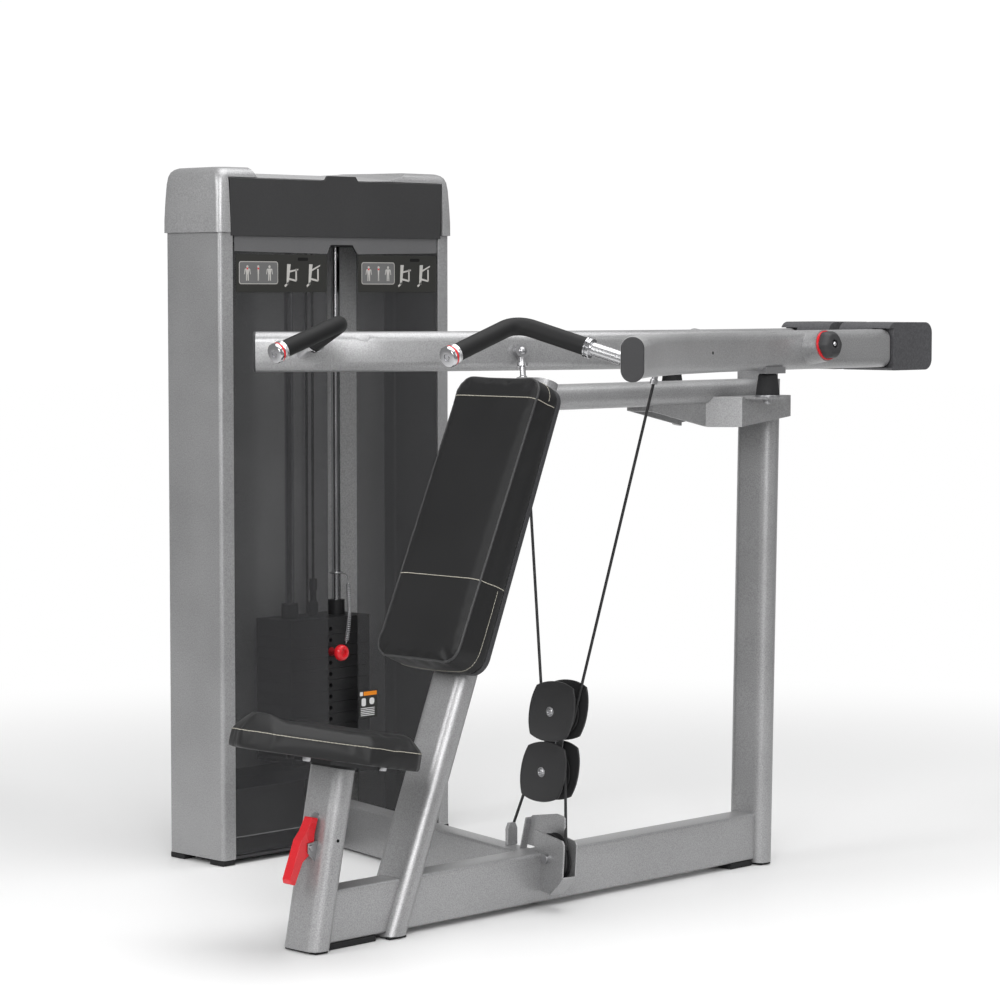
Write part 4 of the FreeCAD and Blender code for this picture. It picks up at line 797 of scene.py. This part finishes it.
refine("base_bracket", tab_piece)
paint("pivot_shafts", CHROME)
paint("guide_rods", CHROME)
paint("latch_pin", ZINC)
for node in ("tower_cable", "block_cables"):
    paint(node, CABLE_SKIN)
for place in ("upper_block", "lower_block", "base", "tower_foot", "tower_head"):
    refine(place + "_pulley", whole(place + "_pulley_moulded", BLACK_PLASTIC, 0.6 * MM))


# ---- press arms


def arm_piece(side):
    def choose(low, high):
        if (high - low).length > 0.3:
            return f"press_arm_{side}_painted", SILVER, 0.8 * MM
        if high.z < 1.1:
            return f"wear_plate_{side}", ZINC, 0.6 * MM
        return f"ball_stud_{side}", ZINC, 0.4 * MM
    return choose


def leg_piece(side):
    def choose(low, high):
        if high.z - low.z > 0.2:
            return f"leg_cable_{side}", CABLE_SKIN, 0
        return f"rod_end_{side}", ZINC, 0.5 * MM
    return choose


def lobed_cap(radius, lobes, swell, profile, steps=72):
    """A turned cap whose outline swells in lobes, in millimetres.

    profile gives (share of the radius, height).
    """
    rings = []
    for share, height in profile:
        ring = []
        for i in range(steps):
            angle = 2 * math.pi * i / steps
            reach = radius * MM * share * (1 + swell * math.cos(lobes * angle) * share)
            ring.append((reach * math.cos(angle), reach * math.sin(angle), height * MM))
        rings.append(ring)
    return loft(rings)


TILT = math.radians(9)  # how far each arm's hinge axis leans from the X axis
PIVOT = at(0, 607, 1096)
RING_OUT, CAP_OUT = 189 * MM, 194 * MM  # the red ring and the cap, out along the hinge axis
ARM_OUT, ARM_RADIUS = 128, 1409  # where an arm starts beside the middle plane, and its bend
HANDLE_SWEEP = math.radians(40)  # how far along the bend the handle is fixed
HANDLE_SEAT_RADIUS = ARM_RADIUS + 21.5
GRIP_LENGTH = 150 * MM  # of the grip's inner leg, from the corner to its metal stop
PIVOT_RING = [(14, 0), (31, 0), (31.4, 1), (31.4, 4), (31, 5), (14, 5)]
PIVOT_CAP = [(0.6, 0), (1, 0.3), (1, 10), (0.94, 14), (0.86, 17.5), (0.74, 21), (0.66, 22), (0.34, 22),
             (0.31, 21), (0.31, 14.5)]
PIVOT_BOLT = [(0, 14), (5.6, 14), (5.6, 18), (4.4, 21), (2.4, 22.6), (0, 23)]
GRIP_DISC = [(0, -8.4), (4.5, -8.4), (5, -6.8), (6.5, -6.8), (7, -8.8), (16.4, -9), (18.6, -8.2), (20, -6),
             (20, -0.4), (19.4, 0), (0, 0)]
GRIP_BAND = [(13, 0), (19.2, 0), (19.6, 0.8), (19.6, 4.2), (19.2, 5), (13, 5)]
GRIP_COLLAR = [(13, 5), (18.8, 5), (19.2, 5.6), (19.2, 8.6), (18, 9), (18, 9.8), (20, 10.2), (20, 13.4),
               (19.2, 14), (13, 14)]
GRIP_STOP = [(13, 0), (19.2, 0), (20, 0.8), (20, 4), (18.2, 4.5), (18.2, 5.6), (19.6, 6), (19.6, 10.6),
             (18.6, 12), (13, 12)]

for side, sign in SIDES:
    arm = side + "_arm"
    refine("press_arm_" + side, arm_piece(side))
    refine("arm_cable_" + side, leg_piece(side))
    for node, finish, material, width in (
            ("arm_end_cap", "moulded", BLACK_CAP, 1.8 * MM), ("pivot_bush", "painted", SILVER, 0.4 * MM),
            ("counterweight", "cast", CASTING, 3.5 * MM), ("hand_grip", "moulded", FOAM_GRIP, 1.5 * MM)):
        refine(f"{node}_{side}", whole(f"{node}_{side}_{finish}", material, width))

    axis = Vector((sign * math.cos(TILT), 0, math.sin(TILT)))
    lobed = lobed_cap(29.3, 6, 0.035, PIVOT_CAP)
    lobed.transform(Matrix.Translation(PIVOT + axis * CAP_OUT) @ turn_to(axis))
    for piece in (turned("pivot_ring_" + side, PIVOT_RING, PIVOT + axis * RING_OUT, axis, RED, arm),
                  mesh_object(f"pivot_cap_{side}_moulded", lobed, BLACK_CAP, arm, smooth=40),
                  turned("pivot_bolt_" + side, PIVOT_BOLT, PIVOT + axis * CAP_OUT, axis, CHROME, arm)):
        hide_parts("pivot_cap_" + side)

    # handle: the tube from the CAD, the plated ends turned again with their grooves and sockets
    tube = refine("handle_bar_" + side, whole(f"handle_tube_{side}", BRIGHT_TUBE, 0.4 * MM))[0]
    bm = bmesh.new()
    bm.from_mesh(tube.data)
    parts = shells(bm)
    longest = max(parts, key=lambda shell: (shell_box(shell)[1] - shell_box(shell)[0]).length)
    others = [face for shell in parts if shell is not longest for face in shell]
    bmesh.ops.delete(bm, geom=others, context="FACES")
    bm.to_mesh(tube.data)
    bm.free()
    front, corner = at(sign * 240, -559, 1121), at(sign * 240, -384, 1180)
    handle_seat = at(sign * (ARM_OUT + ARM_RADIUS - HANDLE_SEAT_RADIUS * math.cos(HANDLE_SWEEP)),
                     607 - HANDLE_SEAT_RADIUS * math.sin(HANDLE_SWEEP), 1116)
    out_dir, in_dir = (corner - front).normalized(), (handle_seat - corner).normalized()
    for name, profile, place, direction, material in (
            ("grip_disc_", GRIP_DISC, front, out_dir, CHROME), ("grip_band_", GRIP_BAND, front, out_dir, RED),
            ("grip_collar_", GRIP_COLLAR, front, out_dir, CHROME),
            ("grip_stop_", GRIP_STOP, corner + in_dir * GRIP_LENGTH, in_dir, CHROME)):
        piece = turned(name + side, profile, place, direction, material, arm)
        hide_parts("handle_bar_" + side)

# ---- floating pulley block

BLOCK_UPPER, BLOCK_LOWER = at(0, -16, 390), at(-24, -16, 264)
COVER_SLANT = 24 / 126  # the block leans this much along X for each unit of height
COVER_OUT, BUTTON_OUT = 17.5 * MM, 24.5 * MM  # a cover's inner face and its button, from the block's middle
COVER_DOME = ((0.99, 0), (1, 0.7), (1, 3.2), (0.985, 4.2), (0.95, 4.9), (0.7, 6.6), (0.4, 7.6), (0.15, 8))
BUTTON = [(0, 0), (8.6, 0), (8.6, 1), (7.8, 3), (6, 4.4), (4, 4.8), (3.6, 4.4), (3.4, 2), (0, 2)]


def cover(name, centre, side):
    """A pulley cover: four bowed sides, a shallow dome outwards, and a slant along the block's line."""
    corner, bow, steps = 51 * MM, 11.5 * MM, 14
    outline = []
    for quarter in range(4):
        turn = Matrix.Rotation(math.pi / 2 * quarter, 2)
        for i in range(steps):
            share = 1 - i / steps * 2
            reach = corner + bow * (1 - abs(share) ** 2.2)
            outline.append(turn @ Vector((share * corner, reach)))
    bm = loft([[(p.x * scale + p.y * scale * COVER_SLANT, p.y * scale, lift * MM) for p in outline]
               for scale, lift in COVER_DOME])
    basis = Matrix(((1, 0, 0), (0, 0, side), (0, 1, 0))).to_4x4()
    basis.translation = centre + Y * side * COVER_OUT
    bm.transform(basis)
    bmesh.ops.recalc_face_normals(bm, faces=bm.faces)
    obj = mesh_object(name, bm, WHEEL_COVER, "pulley_block", smooth=40)
    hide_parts("block_plates")


for name, centre in (("upper", BLOCK_UPPER), ("lower", BLOCK_LOWER)):
    for side, word in ((-1, "near"), (1, "far")):
        cover(f"block_cover_{name}_{word}", centre, side)
        head = turned(f"block_button_{name}_{word}", BUTTON, centre + Y * side * BUTTON_OUT, Y * side, ZINC,
                      "pulley_block")
        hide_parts("block_links")
refine("block_links", whole("block_links_plated", ZINC, 0.5 * MM))

# ---- tower

cap_low, cap_high = (Vector(corner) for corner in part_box("tower_cap"))
CAP_HEIGHT = 140
# the cap's outside: height, how far it draws in, corner radius
CAP_RINGS = ((0, 0, 15), (30, 0.2, 15), (70, 1.6, 16), (105, 3.2, 18), (121, 5, 20), (130, 8, 22),
             (136, 13, 24), (139.4, 20, 26), (CAP_HEIGHT, 27, 28))


def cap_shell(inset, lift, drop):
    """The cap's outside, drawn in and tapering to a rounded top; inset and drop are in millimetres."""
    size, centre = cap_high - cap_low, (cap_high + cap_low) / 2
    rings = []
    top = (CAP_HEIGHT - drop) * MM
    for height, taper, radius in CAP_RINGS:
        draw_in = 2 * (taper + inset) * MM
        outline = rounded(size.x - draw_in, size.y - draw_in, max(radius - inset, 2) * MM, steps=8)
        level = cap_low.z + min(height * MM + lift, top)
        rings.append([(centre.x + x, centre.y + y, level) for x, y in outline])
        if level >= cap_low.z + top:
            break
    return loft(rings)


def across_tower(outline, low_x, high_x):
    """A prism of an outline in (y, z) millimetres, along X between two places."""
    basis = Matrix(((0, 0, 1), (1, 0, 0), (0, 1, 0))).to_4x4()
    points = [((y - 77.16) * MM, z * MM) for y, z in outline]
    return prism(points, low_x, high_x, basis)


front_x = cap_high.x
cap = mesh_object("tower_cap_moulded", cap_shell(0, 0, 0), SILVER_MOULDING, "frame")
carve(cap, cap_shell(5, -5 * MM, 30))
HEADER_RECESS = [(-229, 1300), (400, 1300), (404, 1484), (-233, 1484)]
carve(cap, across_tower(HEADER_RECESS, front_x - 12 * MM, front_x + 20 * MM))
SCOOP = [(-151, 1483), (190, 1483), (240, 1487), (280, 1495), (312, 1508), (318, 1530), (-176, 1530),
         (-166, 1507)]
scoop = across_tower(SCOOP, cap_low.x - 20 * MM, front_x + 20 * MM)
for vertex in scoop.verts:  # its floor rises towards the back
    vertex.co.z += (front_x - vertex.co.x) * 0.10
carve(cap, scoop)
bevel(cap, 1.2 * MM, 2, 40)
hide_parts("tower_cap")


def panel_piece(low, high):
    if low.x < -0.7:
        return "rear_sheet_painted", REAR_GREY, 0
    if high.z > 1.4:
        return None  # the header is drawn below
    if low.z > 1.3:
        return "title_strip_blank", TITLE_GREY, 0.3 * MM
    return ("near_placard" if high.y < 0 else "far_placard"), CARD, 0.3 * MM


refine("tower_panels", panel_piece)
HEADER = [(-226, 1359), (398, 1359), (402, 1482), (144, 1482), (136, 1493), (52, 1493), (44, 1482),
          (-230, 1482)]
header = mesh_object("header_painted", across_tower(HEADER, front_x - 9 * MM, front_x - 3.5 * MM),
                     PANEL_GREY, "frame")
bevel(header, 0.8 * MM, 2, 40)
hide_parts("tower_panels")
refine("tower_window", whole("tower_window_tinted", TINTED, 0))

# ---- weight stack

for node in ("carried_plates", "resting_plates"):
    refine(node, whole(node + "_painted", PLATE_BLACK, 1.6 * MM))


def head_piece(low, high):
    if high.z - low.z < 0.02:
        return "lanyard_ring_plated", ZINC, 0
    return "stack_head_painted", PLATE_BLACK, 1 * MM


refine("stack_head", head_piece)
pin_start = at(-869, 90, 437)
PIN_SHAFT = [(0, 0.5), (3.6, 0.5), (4.6, 3), (4.6, 68.5), (0, 68.5)]
PIN_BASE = [(0, 68), (10, 68), (10, 69.5), (7.4, 76), (6.6, 82), (7, 88), (0, 88)]
PIN_KNOB = [(0, 87.5), (8, 87.5), (12, 89.5), (17, 95.5), (18, 98.5), (18, 103), (17, 107), (14.6, 110),
            (11, 111.4), (8.6, 111), (7.4, 108.6), (6.6, 105), (0, 104)]
# the pin's base takes the darker red, which paints the slot's shade on it
for name, profile, material in (("shaft", PIN_SHAFT, CHROME), ("base", PIN_BASE, RED_PAINTED_SHADE),
                                ("knob", PIN_KNOB, RED)):
    pin = turned("selector_pin_" + name, profile, pin_start, X, material, "pin")
    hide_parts("selector_pin")

# ---- seat lever

refine("seat_lever", whole("seat_lever_moulded", RED, 3 * MM))


# ---- seat cushion and backrest cushion


class Slope:
    """A slanted frame in millimetres: X across the machine, then towards the back, then up the slope."""

    def __init__(self, origin, lean):
        angle = math.radians(lean)
        self.origin = origin
        self.up = Vector((0, math.sin(angle), math.cos(angle)))
        self.back = Vector((0, math.cos(angle), -math.sin(angle)))

    def place(self, x, back, up):
        return self.origin + (X * x + self.back * back + self.up * up) * MM

    def local(self, point):
        offset = (point - self.origin) / MM
        return offset.x, offset.dot(self.back), offset.dot(self.up)


SEAT_LEAN, SEAT_HEIGHT = 11.4, 341  # the seat post's lean in degrees, and the height of the seat's zero line
BACK_LEAN, BACK_HEIGHT = 22, 490
seat_slope = Slope(at(0, -704 + math.tan(math.radians(SEAT_LEAN)) * SEAT_HEIGHT, SEAT_HEIGHT), SEAT_LEAN)
lean = math.radians(BACK_LEAN)
back_slope = Slope(at(0, -507 + math.tan(lean) * BACK_HEIGHT - 25 / math.cos(lean), BACK_HEIGHT), BACK_LEAN)

# the faces on top of the seat's stem, the plate under the seat, are drawn darker in the cap's black plastic
stem.data.materials.append(BLACK_CAP)
for face in stem.data.polygons:
    if seat_slope.local(stem.matrix_world @ face.center)[2] > 3:
        face.material_index = 1

seat_cushion = pumped("seat_cushion", "seat_pad", 1.5 * MM, 5 * MM, 4.0, 3 * MM, SEAT_VINYL,
                      lambda p: seat_slope.local(p)[2] < 18)
back_cushion = pumped("backrest_cushion", "backrest_pad", 2 * MM, 5 * MM, 4.0, 4 * MM, BACK_VINYL,
                      lambda p: back_slope.local(p)[1] > -21)


def round_outline(points, radius, steps=6):
    """A closed outline with its corners rounded."""
    result = []
    count = len(points)
    for i in range(count):
        corner = Vector(points[i])
        before, after = Vector(points[i - 1]), Vector(points[(i + 1) % count])
        into, out = (before - corner).normalized(), (after - corner).normalized()
        half = math.acos(max(-1, min(1, into.dot(out)))) / 2
        reach = min(radius / math.tan(half), (before - corner).length * 0.45, (after - corner).length * 0.45)
        first, last = corner + into * reach, corner + out * reach
        for k in range(steps + 1):
            share = k / steps
            result.append(first * (1 - share) ** 2 + corner * 2 * share * (1 - share) + last * share ** 2)
    return result


SEAT_OUTLINE = [(-60, -218), (0, -243), (60, -218), (175, -68), (175, 52), (140, 95), (-140, 95), (-175, 52),
                (-175, -68)]
seat_tree = surface_tree(seat_cushion)
line = [seat_slope.place(x, y, 49) for x, y in round_outline(SEAT_OUTLINE, 22)]
line = on_surface(seat_tree, resample(line, 4 * MM), 0.3 * MM)
stitches("seat_stitching", line, "seat", True)

back_tree = surface_tree(back_cushion)


def front_depth(up):
    """Depth of the backrest's front face, at a distance up its slope."""
    return -98 + 23 * up / 600


def around_face(up):
    """A line across the front face and back along both sides, at a distance up the slope."""
    depth = front_depth(up)
    half, turn = 117, 8
    points = [(-half, -19), (-half, depth + turn), (-half + turn, depth), (half - turn, depth),
              (half, depth + turn), (half, -19)]
    return [back_slope.place(x, y, up) for x, y in points]


for name, up in (("top", 553), ("bottom", 175)):
    line = on_surface(back_tree, resample(around_face(up), 4 * MM, False), 0.2 * MM)
    stitches(f"backrest_{name}_seam", line, "frame", False, radius=0.9 * MM)
ring = round_outline([(-117, 2), (117, 2), (117, 598), (-117, 598)], 40, 10)
for name, end, reach in (("top", [p for p in ring if p.y > 300], 560),
                         ("bottom", [p for p in ring if p.y < 300], 168)):
    side = [(end[-1].x, reach), *((p.x, p.y) for p in reversed(end)), (end[0].x, reach)]
    line = [back_slope.place(x, -42, up) for x, up in side]
    line = on_surface(back_tree, resample(line, 4 * MM, False), 0.2 * MM)
    stitches(f"backrest_{name}_end_stitching", line, "frame", False, radius=0.6 * MM)
# the piping round the backrest's front face, in the lighter vinyl that paints its highlight
front_ring = round_outline([(-114, 4), (114, 4), (114, 596), (-114, 596)], 40, 10)
welt = [back_slope.place(x, front_depth(up) + 3, up) for x, up in front_ring]
welt = on_surface(back_tree, resample(welt, 4 * MM), 0.2 * MM)
mesh_object("backrest_welt", tube_mesh(welt, 2.4 * MM, 8, closed=True), WELT_VINYL_PAINTED_HIGHLIGHT, "frame", smooth=60)


# ---- cables that stretch between two bodies


def stretched(name, node, start, end):
    """A straight cable from the frame to a moving body, in place of a CAD cable."""
    cable = mesh_object(name, tube_mesh([start, end], 3 * MM, 16), CABLE_SKIN, None)
    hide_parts(node)
    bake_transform(cable)


def cable_ends(node):
    """The middles of a straight cable's lower and upper end faces."""
    bm = cad_mesh(node)
    points = [v.co.copy() for v in bm.verts]
    bm.free()
    ends = []
    for level in (min(p.z for p in points), max(p.z for p in points)):
        near = [p for p in points if abs(p.z - level) < 3 * MM]
        ends.append(sum(near, Vector()) / len(near))
    return ends


foot, head = cable_ends("anchor_cable")
stretched("anchor_cable_drawn", "anchor_cable", foot, head)
stretched("riser_cable_drawn", "riser_cable", at(95.2, -93.5, 123.6), at(20.4, -16.8, 264.2))
foot, head = cable_ends("stack_cable")
stretched("stack_cable_drawn", "stack_cable", head, foot)


# ---- small drilled holes, drawn as discs of painted shade, and bolts


def spot(name, radius, place, direction, material, body, depth=0.2, sunk=1.0):
    """A small disc set on a surface, such as a drilled hole's painted shade or a bolt head, in millimetres.
    """
    profile = [(0, -sunk), (radius, -sunk), (radius, depth * 0.6), (radius * 0.85, depth), (0, depth)]
    turned(name, profile, place, direction, material, body)


# the holes are flat near-black discs whose colour paints the shade inside them
for side, sign in SIDES:
    outward = Vector((sign * 0.96, 0.28, 0))
    spot("arm_hole_shade_" + side, 3.4, at(sign * 204.0, 222.5, 1115.4), outward, HOLE_SHADE_AND_BLACK_PRINT, side + "_arm")
spot("post_hole_shade", 3.2, at(49.3, -667.6, 210.3), Vector((0.98, -0.21, 0.04)), HOLE_SHADE_AND_BLACK_PRINT, "frame")
for name, x, back, material in (("a", 104, 30, ZINC), ("b", 88, -150, ZINC), ("c", 43, -150, BLACK_PLASTIC)):
    spot("seat_bolt_" + name, 7.5, seat_slope.place(x, back, 13), -seat_slope.up, material, "seat", 6, 3)


# ---- instruction placards and the label


def printed(name, outlines, depth, x, material):
    """Flat print on the tower's front: outlines in (y, z) millimetres."""
    parts = [across_tower(outline, x, x + depth * MM) for outline in outlines]
    mesh_object(name, join(*parts), material, "frame", smooth=None)


def person(y, z, narrow):
    """A plain sign figure, 34 mm tall: a disc for the head, straight limbs."""
    wide = 0.45 if narrow else 1.0
    torso = [(-5.5, 9), (5.5, 9), (3.6, -3), (-3.6, -3)]
    arms = [[(5.2, 9), (7.6, 8), (9.4, -3), (7.8, -3.6)], [(-5.2, 9), (-7.8, -3.6), (-9.4, -3), (-7.6, 8)]]
    legs = [[(-3.6, -2.5), (-0.4, -2.5), (-1.4, -17), (-3.8, -17)],
            [(0.4, -2.5), (3.6, -2.5), (3.8, -17), (1.4, -17)]]
    shapes = [torso, *legs] if narrow else [torso, *arms, *legs]
    outlines = [[(y + a * wide, z + b) for a, b in shape] for shape in shapes]
    return outlines + [disc_outline(3.1, (y, z + 13), 12)]


def machine_sign(y, z, raised):
    """A plain sign of a seat, a post and a lever."""
    lift = 9 if raised else 0
    return [[(y + a, z + b) for a, b in shape] for shape in (
        [(-16, -22), (-10, -22), (-4, 22), (-14, 22)], [(-8, -8), (12, -12), (12, -16), (-9, -12)],
        [(10, -14), (14, -14), (14, 12), (10, 12)],
        [(-6, 8 + lift / 3), (18, 12 + lift), (18, 9 + lift), (-6, 4 + lift / 3)],
        [(-22, -24), (-10, -16), (-9, -20), (-20, -28)])]


CARD_FACE, CARD_Z = at(-770, 0, 0).x, 1280
for name, frame_y, frame_width, people, signs in (
        ("near", -146, 108, (-178, -147, -115), (-50, 14)), ("far", 207, 98, (178, 208, 237), (290, 350))):
    figures = [shape for i, y in enumerate(people) for shape in person(y, CARD_Z, i == 1)]
    shapes = [shape for i, y in enumerate(signs) for shape in machine_sign(y, CARD_Z - 3, i == 1)]
    for word, outlines, depth, material in (
            ("rim", [rounded(frame_width + 3, 49, 6, (frame_y, CARD_Z))], 0.2, FIGURE),
            ("field", [rounded(frame_width, 46, 5, (frame_y, CARD_Z))], 0.3, CARD_LIGHT),
            ("figures", figures, 0.45, FIGURE),
            ("dots", [disc_outline(2.2, (y, CARD_Z + 9), 10) for y in people[:2]], 0.6, RED),
            ("signs", shapes, 0.45, FIGURE),
            ("mark", [rounded(30, 7, 3, ((signs[0] + signs[1]) / 2, CARD_Z + 30))], 0.3, HOLE_SHADE_AND_BLACK_PRINT)):
        printed(f"{name}_placard_{word}", outlines, depth, CARD_FACE, material)
LABEL_FACE = at(-771, 0, 0).x
printed("label_ground", [rounded(54, 62, 1.5, (174, 314))], 0.25, LABEL_FACE, CARD)
printed("label_band", [rounded(40, 9, 1, (180, 338))], 0.4, LABEL_FACE, PRINT_ORANGE)
printed("label_print", [rounded(9, 9, 1, (153, 338)), rounded(13, 18, 4, (160, 319)),
                        rounded(15, 15, 6, (185, 320)),
                        *(rounded(42, 1.8, 0.6, (172, z)) for z in (305, 301, 297, 293, 289))],
        0.4, LABEL_FACE, PRINT_WHITE)
